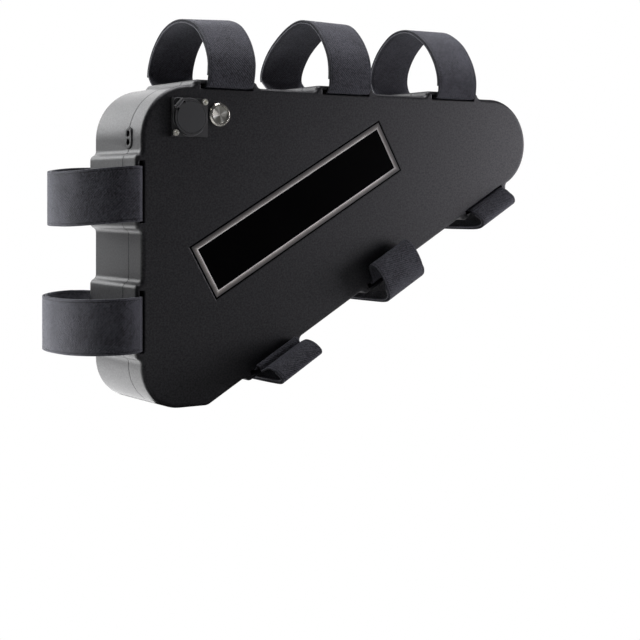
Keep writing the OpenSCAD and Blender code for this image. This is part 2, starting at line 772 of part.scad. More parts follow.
module port_cap() {
    color([0.24, 0.24, 0.245]) in_frame() at_port() difference() {
        union() {
            bar(cap_d, cap_front, cap_back);
            to_hinge() {
                translate([-arm_w / 2, cap_front, cap_d / 2 - cap_t]) cube([arm_w, cap_t, hinge_reach - cap_d / 2 + cap_t]);
                translate([-arm_w / 2, hinge_y, hinge_reach]) rotate([0, 90, 0]) cylinder(r = hinge_r, h = arm_w);
            }
        }
        to_hinge() translate([-hinge_notch, hinge_y, hinge_reach]) rotate([0, 90, 0])
            cylinder(d = pin_d + 2 * run_gap, h = 2 * hinge_notch);
    }
}

module port_hinge_pin() {
    color([0.75, 0.75, 0.77]) in_frame() at_port() to_hinge()
        translate([-knuckle_l / 2 - ear_gap - ear_l, hinge_y, hinge_reach]) rotate([0, 90, 0])
            cylinder(d = pin_d, h = knuckle_l + 2 * ear_gap + 2 * ear_l);
}

module port_screws() {
    color([0.78, 0.78, 0.78]) in_frame() at_port() at_port_screws() difference() {
        union() {
            bar(port_screw_d, flange_front - cut / 2, flange_front + port_screw_l);
            bar(port_screw_head_d, flange_front - port_screw_head_h, flange_front);
        }
        for (a = [0, 90]) rotate([0, a, 0])
            translate([-port_screw_head_d * cross_share, flange_front - port_screw_head_h - cut, -cross_w / 2])
                cube([2 * port_screw_head_d * cross_share, cut + port_screw_head_h / 2, cross_w]);
    }
}

cross_share = 0.32;
cross_w = 0.7;

// Power button. Its frame is set as the port's.
plunger_sink = 0.3;
plunger_top = -bezel_h + plunger_sink;
plunger_l = 5;
stem_d = 5;
stem_l = 7;
bezel_bevel = 0.9;
spring_d = 8;
spring_wire = 0.8;
pressed_spring_l = 2.6;
well_l = plunger_top + plunger_l - spring_wire + button_travel + pressed_spring_l;
nut_d = 18;
nut_t = 3;

module button_housing() {
    color([0.75, 0.74, 0.7]) in_frame() at_button() difference() {
        union() {
            rotate([90, 0, 0]) {
                cylinder(d = bezel_d, h = bezel_h - bezel_bevel);
                translate([0, 0, bezel_h - bezel_bevel])
                    cylinder(d1 = bezel_d, d2 = bezel_d - 2 * bezel_bevel, h = bezel_bevel);
            }
            bar(button_barrel_d, -bezel_h / 2, button_barrel_l);
        }
        bar(plunger_d + 2 * run_gap, -bezel_h - cut, well_l);
        bar(stem_d + 2 * run_gap, 0, button_barrel_l - wall);
    }
}

module button_plunger() {
    color([0.7, 0.7, 0.67]) in_frame() at_button() difference() {
        union() {
            bar(plunger_d, plunger_top, plunger_top + plunger_l - spring_wire);
            bar(stem_d, plunger_top, plunger_top + plunger_l + stem_l);
        }
        translate([0, plunger_top - dish_r + dish_depth, 0]) sphere(r = dish_r, $fn = 96);
    }
}

dish_depth = 0.35;
dish_r = (plunger_d * plunger_d * 0.2 + dish_depth * dish_depth) / (2 * dish_depth);

module button_spring() {
    color([0.7, 0.7, 0.72]) in_frame() at_button() difference() {
        bar(spring_d, plunger_top + plunger_l - spring_wire + seat_gap, well_l - seat_gap);
        bar(spring_d - 2 * spring_wire, 0, well_l + cut);
    }
}

module button_nut() {
    color([0.72, 0.72, 0.7]) in_frame() at_button() difference() {
        translate([0, wall + nut_t, 0]) rotate([90, 0, 0]) cylinder(d = nut_d, h = nut_t, $fn = 6);
        bar(button_barrel_d + 2 * run_gap, wall - cut, wall + nut_t + cut);
    }
}

terminal_t = 0.8;
terminal_l = 6;
terminal_w = 2.8;

module button_terminals() {
    color([0.8, 0.75, 0.5]) in_frame() at_button()
        for (s = [-1, 1])
            translate([s * button_barrel_d / 4 - terminal_t / 2, button_barrel_l, -terminal_w / 2])
                cube([terminal_t, terminal_l, terminal_w]);
}

// The flanges follow the wall, which starts to curve there
module cable_grommet() {
    color([0.06, 0.06, 0.06]) in_frame() difference() {
        union() {
            difference() {
                at_outlet() translate([0, 0, -wall]) linear_extrude(height = wall + grommet_flange_t)
                    rotate(90) stadium(grommet_w, grommet_l);
                slab(seam_y - grommet_l, seam_y + grommet_l) polygon(inset(plain_ring, -seat_gap));
            }
            at_outlet() translate([0, 0, -wall - grommet_inner_t / 2])
                linear_extrude(height = wall + grommet_inner_t / 2 + grommet_flange_t / 2)
                    rotate(90) stadium(grommet_neck_w - 2 * seat_gap, grommet_neck_l - 2 * seat_gap);
            intersection() {
                at_outlet() translate([0, 0, -wall - grommet_inner_t]) linear_extrude(height = grommet_inner_t)
                    rotate(90) stadium(grommet_w, grommet_l);
                cavity(seam_y - grommet_l, seam_y + grommet_l, seat_gap);
            }
        }
        at_outlet() rotate(90) for (s = [-1, 1])
            translate([0, s * cable_pitch / 2, -wall - grommet_inner_t - cut])
                cylinder(d = cable_hole_d, h = wall + grommet_inner_t + grommet_flange_t + 2 * cut);
    }
}

// Cells, on a square grid that keeps clear of the walls, the screws, the port, the button and the board
cell_y0 = -cell_l / 2;
cell_y1 = cell_l / 2;
cell_room = 1.4;
slope_room = 1.2;
floor_room = 1;
boss_gap = 0.4;
cell_edge = backing + cell_pitch / 2 + cell_room;
grid_start = [cell_edge, -cell_edge];
front_room = [button_x + bezel_d / 2 + wall, port_drop + port_flange_h / 2];
board_room = [board_place[0] - board_l / 2, -board_place[1] + board_h / 2];

function off_lower(x, z) = nose_r - ((x - nose_c[0]) * cos(lower_dir) + (z - nose_c[1]) * sin(lower_dir));
function clear_of_screws(x, z) =
    min([for (p = screw_places) norm([x - p[0], z - p[1]])]) > (cell_pitch + boss_d) / 2 + boss_gap;
function in_low_corner(x, z) = x > low_corner_c[0] || z > low_corner_c[1]
    || norm([x - low_corner_c[0], z - low_corner_c[1]]) < low_corner_r - wall - cell_pitch / 2 - floor_room;
function keeps(x, z) = off_lower(x, z) > backing + cell_pitch / 2 + slope_room
    && z > -case_height + wall + cell_pitch / 2 + floor_room
    && clear_of_screws(x, z) && in_low_corner(x, z)
    && !(x < front_room[0] + cell_pitch / 2 && z > -front_room[1] - cell_pitch / 2)
    && !(x > board_room[0] - cell_pitch / 2 - floor_room && z > -board_room[1] - cell_pitch / 2 - floor_room);
row_count = 1 + floor((case_height - cell_edge - wall - cell_pitch / 2 - floor_room) / cell_pitch);
col_count = ceil(case_length / cell_pitch);
cell_rows = [for (j = [0:row_count - 1]) [for (i = [0:col_count - 1])
    let (x = grid_start[0] + i * cell_pitch, z = grid_start[1] - j * cell_pitch) if (keeps(x, z)) [x, z]]];
group_count = 5;

// The rows are shared out evenly among the groups, from the top down
module cell_group(k) {
    color(k % 2 == 0 ? [0.2, 0.45, 0.35] : [0.22, 0.4, 0.6]) in_frame()
        for (j = [0:row_count - 1]) if (floor(j * group_count / row_count) == k)
            for (p = cell_rows[j]) translate([p[0], 0, p[1]]) bar(cell_d, cell_y0, cell_y1);
}

module cell_group_1() { cell_group(0); }
module cell_group_2() { cell_group(1); }
module cell_group_3() { cell_group(2); }
module cell_group_4() { cell_group(3); }
module cell_group_5() { cell_group(4); }

// First and last cell of each unbroken run in a row
function next_to(a, b) = b[0] - a[0] < 1.5 * cell_pitch;
function run_end(row, i) = i + 1 < len(row) && next_to(row[i], row[i + 1]) ? run_end(row, i + 1) : i;
function row_lengths(row) = [for (i = [0:1:len(row) - 1])
    if (i == 0 || !next_to(row[i - 1], row[i])) [row[i], row[run_end(row, i)]]];

// One length of holder under each unbroken run of cells in a row
module row_runs(w, grow) {
    for (row = cell_rows) for (run = row_lengths(row))
        translate([run[0][0] - w / 2 - grow, run[0][1] - w / 2 - grow])
            square([run[1][0] - run[0][0] + w + 2 * grow, w + 2 * grow]);
}

run_overlap = 0.02;

module cell_holder(y0, y1) {
    color([0.12, 0.12, 0.12]) in_frame() difference() {
        intersection() {
            slab(y0, y1) row_runs(cell_pitch, run_overlap);
            room(y0 - cut, y1 + cut);
        }
        for (row = cell_rows) for (p = row) translate([p[0], 0, p[1]])
            bar(cell_d + 2 * seat_gap, y0 - cut, y1 + cut);
    }
}

module front_cell_holder() { cell_holder(cell_y0, cell_y0 + holder_t); }
module rear_cell_holder() { cell_holder(cell_y1 - holder_t, cell_y1); }

module nickel_strips(y0, y1) {
    color([0.8, 0.8, 0.8]) in_frame() slab(y0, y1)
        for (row = cell_rows) for (run = row_lengths(row))
            translate([run[0][0] - nickel_w / 2, run[0][1] - nickel_w / 2])
                square([run[1][0] - run[0][0] + nickel_w, nickel_w]);
}

module front_nickel_strips() { nickel_strips(cell_y0 - nickel_t, cell_y0); }
module rear_nickel_strips() { nickel_strips(cell_y1, cell_y1 + nickel_t); }

module insulation_sheet(y0, y1) {
    color([0.85, 0.83, 0.75]) in_frame() intersection() {
        slab(y0, y1) row_runs(cell_pitch, run_overlap);
        room(y0 - cut, y1 + cut);
    }
}

module front_insulation_sheet() { insulation_sheet(cell_y0 - nickel_t - sheet_t, cell_y0 - nickel_t); }
module rear_insulation_sheet() { insulation_sheet(cell_y1 + nickel_t, cell_y1 + nickel_t + sheet_t); }

// Foam between the insulation and the case, a little shorter than the cells' field
module foam_pad(y0, y1) {
    color([0.2, 0.2, 0.21]) in_frame() slab(y0, y1) row_runs(foam_w, 0);
}

foam_share = 0.7;
foam_w = cell_pitch * foam_share;

module front_foam_pad() { foam_pad(inner_front_y + seat_gap, cell_y0 - nickel_t - sheet_t); }
module rear_foam_pad() { foam_pad(cell_y1 + nickel_t + sheet_t, inner_back_y - seat_gap); }

module board() {
    color([0.1, 0.35, 0.2]) in_frame() difference() {
        translate([board_place[0] - board_l / 2, board_y, board_place[1] - board_h / 2])
            cube([board_l, board_t, board_h]);
        at_board_holes() bar(board_hole_d, board_y - cut, board_y + board_t + cut);
    }
}

board_screw_head_d = 4.6;
board_screw_head_h = 1.6;

module board_screws() {
    color([0.7, 0.7, 0.7]) in_frame() at_board_holes() {
        bar(board_screw_d, board_y - cut / 2, standoff_y + standoff_bore_l - cut);
        bar(board_screw_head_d, board_y - board_screw_head_h, board_y);
    }
}

sink_l = board_l - 4 * board_hole_in;
sink_h_share = 0.45;
sink_h = board_h * sink_h_share;
transistor_w = 6.5;
transistor_t = 4.6;
transistor_h = 9;
transistor_count = 4;
fin_count = 6;

module board_transistors() {
    color([0.08, 0.08, 0.08]) in_frame()
        for (i = [0:transistor_count - 1])
            translate([board_place[0] - sink_l / 2 + i * sink_l / transistor_count + seat_gap,
                       board_y - transistor_t, board_place[1] - transistor_h / 2])
                cube([transistor_w, transistor_t, transistor_h]);
}

module board_heat_sink() {
    color([0.75, 0.76, 0.78]) in_frame()
        translate([board_place[0] - sink_l / 2, board_y - transistor_t - sink_t, board_place[1] - sink_h / 2])
            difference() {
                cube([sink_l, sink_t, sink_h]);
                for (i = [0:fin_count - 2])
                    translate([(i + 0.7) * sink_l / fin_count, -cut, -cut])
                        cube([sink_l / fin_count * 0.6, sink_t * 0.7 + cut, sink_h + 2 * cut]);
            }
}

connector_l = 26;
connector_w = 8;
connector_h = 6;
connector_wall = 1;

module board_connector() {
    color([0.9, 0.9, 0.86]) in_frame()
        translate([board_place[0] - connector_l / 2, board_y - connector_w,
                   board_place[1] - board_h / 2 + seat_gap]) difference() {
            cube([connector_l, connector_w, connector_h]);
            translate([connector_wall, -cut, connector_wall])
                cube([connector_l - 2 * connector_wall, connector_w - 2 * connector_wall + cut,
                      connector_h - 2 * connector_wall]);
        }
}

module fuse_holder() {
    color([0.15, 0.15, 0.16]) in_frame()
        translate([fuse_x - fuse_block_l / 2, inner_back_y - fuse_block_w, fuse_z - fuse_block_h / 2])
            difference() {
                cube([fuse_block_l, fuse_block_w, fuse_block_h]);
                translate([wall, -cut, fuse_block_h / 2 - fuse_t / 2 - seat_gap])
                    cube([fuse_block_l - 2 * wall, fuse_block_w / 2 + cut, fuse_t + 2 * seat_gap]);
            }
}

fuse_t = 5;

module fuse() {
    color([0.8, 0.6, 0.1]) in_frame()
        translate([fuse_x - fuse_block_l / 2 + wall + seat_gap, inner_back_y - fuse_block_w - fuse_t,
                   fuse_z - fuse_t / 2])
            cube([fuse_block_l - 2 * wall - 2 * seat_gap, fuse_block_w / 2 + fuse_t, fuse_t]);
}

rear_tray();
front_lid();
case_seal();
case_screws();
label_panel();
label_border();
rear_label_panel();
top_strap_1();
top_strap_2();
top_strap_3();
seat_strap_1();
seat_strap_2();
lower_strap_1();
lower_strap_2();
lower_strap_3();
port_gasket();
port_shell();
port_insert();
port_pins();
port_cap();
port_hinge_pin();
port_screws();
button_housing();
button_plunger();
button_spring();
button_nut();
button_terminals();
cable_grommet();
cell_group_1();
cell_group_2();
cell_group_3();
cell_group_4();
cell_group_5();
front_cell_holder();
rear_cell_holder();
front_nickel_strips();
rear_nickel_strips();
front_insulation_sheet();
rear_insulation_sheet();
front_foam_pad();
rear_foam_pad();
board();
board_heat_sink();
board_transistors();
board_connector();
board_screws();
fuse_holder();
fuse();
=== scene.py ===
"""Looks for a triangular hard-case e-bike battery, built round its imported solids."""
import math

import bmesh
import bpy
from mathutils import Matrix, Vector


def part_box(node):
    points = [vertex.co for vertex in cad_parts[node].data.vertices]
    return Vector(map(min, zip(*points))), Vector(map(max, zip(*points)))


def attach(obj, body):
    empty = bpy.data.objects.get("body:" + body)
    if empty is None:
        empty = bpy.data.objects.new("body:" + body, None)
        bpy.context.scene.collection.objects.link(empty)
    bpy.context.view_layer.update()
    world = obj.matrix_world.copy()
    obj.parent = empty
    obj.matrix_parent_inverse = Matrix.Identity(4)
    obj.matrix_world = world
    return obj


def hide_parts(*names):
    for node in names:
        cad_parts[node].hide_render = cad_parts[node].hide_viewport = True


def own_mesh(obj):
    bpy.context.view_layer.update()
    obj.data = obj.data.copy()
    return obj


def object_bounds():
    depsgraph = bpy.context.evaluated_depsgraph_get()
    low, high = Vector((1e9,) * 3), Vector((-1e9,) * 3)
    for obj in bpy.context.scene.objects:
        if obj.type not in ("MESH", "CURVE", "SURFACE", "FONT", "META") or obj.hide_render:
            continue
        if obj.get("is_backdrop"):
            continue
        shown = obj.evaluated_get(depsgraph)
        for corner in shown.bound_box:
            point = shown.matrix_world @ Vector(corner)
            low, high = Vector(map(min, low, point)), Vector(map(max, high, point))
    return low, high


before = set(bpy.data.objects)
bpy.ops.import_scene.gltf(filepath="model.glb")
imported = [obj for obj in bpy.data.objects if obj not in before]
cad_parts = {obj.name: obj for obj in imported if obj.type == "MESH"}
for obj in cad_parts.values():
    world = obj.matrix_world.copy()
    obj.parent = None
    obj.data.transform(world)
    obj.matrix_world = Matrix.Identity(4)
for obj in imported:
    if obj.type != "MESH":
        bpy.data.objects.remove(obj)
lo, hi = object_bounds()

scene = bpy.context.scene
scene.view_settings.view_transform = "Standard"

# Sizes in millimetres, in the case's own frame: x along the top edge, y through the case, z up
CASE_L, CASE_H, CASE_D = 348.5, 224.5, 76.0
BOTTOM_FLAT = 19.9
TOP_R, LOW_R, NOSE_R, HEEL_R = 37.3, 30.0, 35.5, 9.0
WALL, LID, FILLET = 2.6, 20.3, 2.8
CAVITY_IN, FILLET_EASE = 2.2, 0.7
SEAM_SOFT = ((0.35, -0.02), (0.08, 0.25), (0.0, 0.6), (0.0, 1.3))
PAD_RISE, PAD_FLAT, RAMP = 4.4, 45.0, 65.0
TOP_GAP_SHARES, SEAT_GAP_SHARES = (0.0020, 0.4431, 0.4451), (0.1945, 0.7628)
LOWER_GAP_SHARES = (0.0020, 0.3633, 0.4246)
SLOT_W, SLOT_SINK, BRIDGE = 43.0, 1.6, 3.2
FLARE_L, FLARE_OUT, FLARE_IN = 1.4, 1.15, 0.8
STRAP_W, STRAP_T, ROLL_R, LAYER_GAP, SOFT_GAP = 38.0, 1.4, 0.5, 0.25, 0.3
LABEL_L, LABEL_W, LABEL_X, LABEL_DROP = 188.0, 43.5, 129.0, 85.3
REAR_LABEL_L, REAR_LABEL_W, REAR_LABEL_SHARES = 150.0, 56.0, (0.36, 0.37)
RECESS, OVERRUN, SHARP_DEG, FILLET_PARTS = 0.6, 1.0, 28.0, 6
PORT_X, PORT_DROP, PORT_HOLE_R, PORT_FLANGE = 36.0, 22.6, 11.0, 2.1
BEAD_R, BEAD_PATH_R = 0.3, 13.12
LOBE, LOBE_AT, LOBE_SPREAD, BEAD_FLAT_SHARE = 4.1, 135.0, 17.0, 0.8
BUTTON_X, BUTTON_DROP, BUTTON_HOLE_R = 60.6, 20.0, 7.3
OUTLET_DROP, OUTLET_R, OUTLET_HALF, OUTLET_DEPTH = 37.0, 4.0, 2.5, 8.0
BOSS_D, BOSS_GAP, SINK_R, SINK_FLOOR = 8.6, 1.6, 3.3, 4.0
FRONT, BACK = -CASE_D / 2, CASE_D / 2
SEAM = FRONT + LID


def dirv(deg):
    return (math.cos(math.radians(deg)), math.sin(math.radians(deg)))


NOSE_C = (CASE_L - NOSE_R, -NOSE_R)
HEEL_C = (LOW_R + BOTTOM_FLAT, HEEL_R - CASE_H)
SLOPE = math.degrees(math.atan2(NOSE_C[1] - HEEL_C[1], NOSE_C[0] - HEEL_C[0])
                     - math.asin((NOSE_R - HEEL_R) / math.dist(NOSE_C, HEEL_C)))
LOWER_DIR = SLOPE - 90.0
NOSE_END = (NOSE_C[0] + NOSE_R * dirv(LOWER_DIR)[0], NOSE_C[1] + NOSE_R * dirv(LOWER_DIR)[1])
HEEL_START = (HEEL_C[0] + HEEL_R * dirv(LOWER_DIR)[0], HEEL_C[1] + HEEL_R * dirv(LOWER_DIR)[1])
PAD_L = PAD_FLAT + 2 * PAD_RISE * math.sin(math.radians(RAMP)) / (1 - math.cos(math.radians(RAMP)))


def pad_places(edge, shares):
    """Distances of the pads' middles along an edge, from the shares of its free length before each."""
    free = edge - len(shares) * PAD_L
    return [free * sum(shares[:i + 1]) + (i + 0.5) * PAD_L for i in range(len(shares))]


TOP_PADS = [TOP_R + v for v in pad_places(CASE_L - TOP_R - NOSE_R, TOP_GAP_SHARES)]
SEAT_PADS = [-TOP_R - v for v in pad_places(CASE_H - TOP_R - LOW_R, SEAT_GAP_SHARES)]
LOWER_PADS = pad_places(math.dist(NOSE_END, HEEL_START), LOWER_GAP_SHARES)
DATUM = Vector((TOP_PADS[1], 0.0, PAD_RISE))


def at(x, y, z):
    """A place in the case's own frame, in the scene's metres."""
    return (Vector((x, y, z)) - DATUM) / 1000.0


def lower_place(i):
    d = dirv(SLOPE)
    return (NOSE_END[0] - LOWER_PADS[i] * d[0], NOSE_END[1] - LOWER_PADS[i] * d[1])


PADS = [((x, 0.0), 90.0) for x in TOP_PADS] + [(lower_place(i), LOWER_DIR) for i in range(3)] \
    + [((0.0, z), 180.0) for z in SEAT_PADS]


# The case's outline: each point has its place and outward normal, then those without the pads
def arc(c, r, a0, a1, step=3.0):
    n = max(2, math.ceil(abs(a1 - a0) / step))
    out = []
    for k in range(n + 1):
        d = dirv(a0 + (a1 - a0) * k / n)
        q = (c[0] + r * d[0], c[1] + r * d[1], d[0], d[1])
        out.append(q + q)
    return out


def pad(c, deg, parts=8):
    """A raised flat with an S-shaped ramp on each side."""
    r = PAD_RISE / (2 * (1 - math.cos(math.radians(RAMP))))
    run = 2 * r * math.sin(math.radians(RAMP))
    side = []
    for k in range(parts + 1):
        a = math.radians(RAMP * k / parts)
        side.append((-PAD_FLAT / 2 - run + r * math.sin(a), r - r * math.cos(a), -math.sin(a), math.cos(a)))
    for k in range(1, parts + 1):
        a = math.radians(RAMP * (1 - k / parts))
        side.append((-PAD_FLAT / 2 - r * math.sin(a), PAD_RISE - r + r * math.cos(a),
                     -math.sin(a), math.cos(a)))
    local = side + [(-u, v, -nu, nv) for u, v, nu, nv in reversed(side)]
    c0, s0 = dirv(deg)
    return [(c[0] + u * s0 + v * c0, c[1] - u * c0 + v * s0, nu * s0 + nv * c0, -nu * c0 + nv * s0,
             c[0] + u * s0, c[1] - u * c0, c0, s0) for u, v, nu, nv in local]


def outline():
    ring = arc((TOP_R, -TOP_R), TOP_R, 180, 90)
    for x in TOP_PADS:
        ring += pad((x, 0.0), 90)
    ring += arc(NOSE_C, NOSE_R, 90, LOWER_DIR)
    for i in range(3):
        ring += pad(lower_place(i), LOWER_DIR)
    ring += arc(HEEL_C, HEEL_R, LOWER_DIR, -90)
    ring += arc((LOW_R, LOW_R - CASE_H), LOW_R, -90, -180)
    for z in reversed(SEAT_PADS):
        ring += pad((0.0, z), 180)
    return ring


RING = outline()


# Shader nodes
def material(name):
    m = bpy.data.materials.new(name)
    m.use_nodes = True
    nt = m.node_tree
    nt.nodes.clear()
    out = nt.nodes.new("ShaderNodeOutputMaterial")
    b = nt.nodes.new("ShaderNodeBsdfPrincipled")
    nt.links.new(b.outputs[0], out.inputs[0])
    return m, nt, b


def coords(nt, scale=(1, 1, 1), rotation=(0, 0, 0), location=(0, 0, 0), kind="Object"):
    t = nt.nodes.new("ShaderNodeTexCoord")
    mp = nt.nodes.new("ShaderNodeMapping")
    mp.inputs["Location"].default_value = location
    mp.inputs["Rotation"].default_value = rotation
    mp.inputs["Scale"].default_value = scale
    nt.links.new(t.outputs[kind], mp.inputs["Vector"])
    return mp.outputs["Vector"]


def split(nt, vec):
    s = nt.nodes.new("ShaderNodeSeparateXYZ")
    nt.links.new(vec, s.inputs[0])
    return s.outputs[0], s.outputs[1], s.outputs[2]


def noise(nt, vec, scale, detail=3.0, rough=0.55):
    n = nt.nodes.new("ShaderNodeTexNoise")
    n.inputs["Scale"].default_value = scale
    n.inputs["Detail"].default_value = detail
    n.inputs["Roughness"].default_value = rough
    nt.links.new(vec, n.inputs["Vector"])
    return n.outputs["Fac"]


def ramp(nt, fac, stops):
    r = nt.nodes.new("ShaderNodeValToRGB")
    e = r.color_ramp.elements
    while len(e) < len(stops):
        e.new(0.5)
    for k, (p, c) in enumerate(stops):
        e[k].position = p
        e[k].color = (c, c, c, 1) if isinstance(c, (int, float)) else (*c, 1)
    nt.links.new(fac, r.inputs["Fac"])
    return r.outputs["Color"]


def maths(nt, op, a, b=None, clamp=False):
    m = nt.nodes.new("ShaderNodeMath")
    m.operation = op
    m.use_clamp = clamp
    for k, v in enumerate((a, b)):
        if isinstance(v, (int, float)):
            m.inputs[k].default_value = v
        elif v is not None:
            nt.links.new(v, m.inputs[k])
    return m.outputs[0]


def add(nt, a, b, clamp=False):
    return maths(nt, "ADD", a, b, clamp)


def sub(nt, a, b, clamp=False):
    return maths(nt, "SUBTRACT", a, b, clamp)


def mul(nt, a, b, clamp=False):
    return maths(nt, "MULTIPLY", a, b, clamp)


def wave(nt, x, pitch):
    return maths(nt, "SINE", mul(nt, x, 2 * math.pi / pitch))


def mix(nt, fac, a, b):
    m = nt.nodes.new("ShaderNodeMix")
    m.data_type = "RGBA"
    for sock, v in ((m.inputs["Factor"], fac), (m.inputs["A"], a), (m.inputs["B"], b)):
        if isinstance(v, tuple):
            sock.default_value = (*v, 1)
        else:
            nt.links.new(v, sock)
    return m.outputs["Result"]


def bump(nt, b, height, strength, distance, normal=None):
    n = nt.nodes.new("ShaderNodeBump")
    n.inputs["Strength"].default_value = strength
    n.inputs["Distance"].default_value = distance
    nt.links.new(height, n.inputs["Height"])
    if normal is not None:
        nt.links.new(normal, n.inputs["Normal"])
    nt.links.new(n.outputs["Normal"], b.inputs["Normal"])


def edge_light(nt, radius):
    """How far the bevelled normal turns from the true one, above 0 on edges, and that normal."""
    g = nt.nodes.new("ShaderNodeNewGeometry")
    bv = nt.nodes.new("ShaderNodeBevel")
    bv.samples = 4
    bv.inputs["Radius"].default_value = radius
    d = nt.nodes.new("ShaderNodeVectorMath")
    d.operation = "DOT_PRODUCT"
    nt.links.new(g.outputs["Normal"], d.inputs[0])
    nt.links.new(bv.outputs["Normal"], d.inputs[1])
    return sub(nt, 1.0, d.outputs["Value"], clamp=True), bv.outputs["Normal"]


def shades(base, spread):
    """A darker and a paler colour on either side of base."""
    return tuple(c * (1 - spread) for c in base), tuple(min(1.0, c * (1 + spread)) for c in base)


# Materials
def case_material():
    """Moulded black plastic: an even spark-eroded grain, slight sheen changes and painted highlights on its
    edges.
    """
    m, nt, b = material("case_plastic_moulded")
    v = coords(nt)
    fine = noise(nt, v, 1500, 2.0, 0.6)
    grain = noise(nt, v, 5200, 1.0, 0.5)
    broad = noise(nt, v, 14, 3.0, 0.5)
    scuff = noise(nt, coords(nt, (40, 40, 400), (0.3, 0.7, 0.2)), 5.0, 6.0, 0.75)
    edge, rounded = edge_light(nt, 0.0012)
    speck = ramp(nt, noise(nt, v, 760, 2.0, 0.7), [(0.36, 0.0), (0.64, 1.0)])
    tone = mix(nt, speck, (0.0045, 0.0045, 0.0058), (0.0115, 0.0115, 0.0134))
    # Painted highlight: the edges are made paler, standing in for light caught on the rounded edges
    tone = mix(nt, mul(nt, edge, 0.5, clamp=True), tone, (0.05, 0.05, 0.055))
    nt.links.new(tone, b.inputs["Base Color"])
    rough = add(nt, mul(nt, broad, 0.08), 0.40)
    rough = add(nt, rough, mul(nt, fine, 0.05))
    rough = sub(nt, rough, mul(nt, ramp(nt, scuff, [(0.62, 0.0), (0.75, 1.0)]), 0.03))
    nt.links.new(rough, b.inputs["Roughness"])
    nt.links.new(add(nt, mul(nt, speck, 0.14), 0.33), b.inputs["Specular IOR Level"])
    bump(nt, b, add(nt, mul(nt, fine, 0.6), mul(nt, grain, 0.4)), 0.16, 0.0002, rounded)
    return m


def webbing_material(name, dark, pale, inner=False):
    """Woven hook-and-loop tape: a fine twill outside, brushed loops inside, with firm selvedges."""
    twill_pitch, warp_pitch, weft_pitch, rib_pitch = 2.0, 0.55, 0.45, 0.8
    rib_w, stitch_in, stitch_w = 1.6, 1.9, 0.45
    m, nt, b = material(name)
    u, w, _ = split(nt, coords(nt, kind="UV"))
    obj = coords(nt)
    wobble = mul(nt, noise(nt, obj, 380, 2.0), 1.1)
    fleck = sub(nt, noise(nt, obj, 720, 3.0, 0.7), 0.5)
    fuzz = noise(nt, obj, 1300, 4.0, 0.75)
    cloud = noise(nt, obj, 55, 4.0, 0.6)
    twill = wave(nt, add(nt, add(nt, u, w), wobble), twill_pitch)
    twill = mul(nt, twill, add(nt, 0.9, mul(nt, fleck, 1.8)))
    plain = mul(nt, wave(nt, w, warp_pitch), wave(nt, u, weft_pitch))
    weave = add(nt, mul(nt, twill, 0.7), mul(nt, plain, 0.4))
    from_middle = maths(nt, "ABSOLUTE", w)
    selvedge = mul(nt, sub(nt, from_middle, STRAP_W / 2 - rib_w), 2.5, clamp=True)
    height = mix(nt, selvedge, weave, wave(nt, u, rib_pitch))
    stitch_groove_and_shade = maths(nt, "ABSOLUTE", sub(nt, from_middle, STRAP_W / 2 - stitch_in))
    stitch_groove_and_shade = sub(nt, 1.0, maths(nt, "DIVIDE", stitch_groove_and_shade, stitch_w), clamp=True)
    shade = add(nt, mul(nt, height, 0.34), mul(nt, sub(nt, fuzz, 0.5), 2.4))
    shade = add(nt, shade, mul(nt, fleck, 2.0))
    shade = add(nt, shade, mul(nt, cloud, 0.9), clamp=True)
    # Painted shade: the stitched groove near each selvedge is darkened in colour as well as sunk in the bump
    shade = sub(nt, shade, mul(nt, stitch_groove_and_shade, 0.6), clamp=True)
    nt.links.new(mix(nt, shade, dark, pale), b.inputs["Base Color"])
    nt.links.new(add(nt, mul(nt, fuzz, 0.15), 0.72), b.inputs["Roughness"])
    b.inputs["Specular IOR Level"].default_value = 0.28
    b.inputs["Sheen Weight"].default_value = 0.12 if inner else 0.25
    b.inputs["Sheen Roughness"].default_value = 0.45
    b.inputs["Sheen Tint"].default_value = (0.62, 0.64, 0.72, 1)
    relief = add(nt, mul(nt, height, 0.55), mul(nt, fuzz, 0.7 if inner else 0.4))
    bump(nt, b, sub(nt, relief, mul(nt, stitch_groove_and_shade, 0.8)), 0.6, 0.0003)
    return m


def plain_plastic(name, base, rough, grain=1800, spec=0.5, edge=0.0004):
    """Fine-grained plastic or rubber, with painted highlights on its edges."""
    m, nt, b = material(name)
    v = coords(nt)
    fine = noise(nt, v, grain, 3.0, 0.6)
    broad = noise(nt, v, 60, 3.0, 0.5)
    turn, rounded = edge_light(nt, edge)
    tone = mix(nt, add(nt, mul(nt, fine, 0.6), mul(nt, broad, 0.4)), *shades(base, 0.25))
    # Painted highlight: a paler colour on the edges, standing in for light caught on them
    painted_edge_highlight = tuple(min(1.0, c * 3.0 + 0.02) for c in base)
    tone = mix(nt, mul(nt, turn, 0.9, clamp=True), tone, painted_edge_highlight)
    nt.links.new(tone, b.inputs["Base Color"])
    nt.links.new(add(nt, mul(nt, broad, 0.12), rough - 0.06), b.inputs["Roughness"])
    b.inputs["Specular IOR Level"].default_value = spec
    bump(nt, b, fine, 0.12, 0.0002, rounded)
    return m


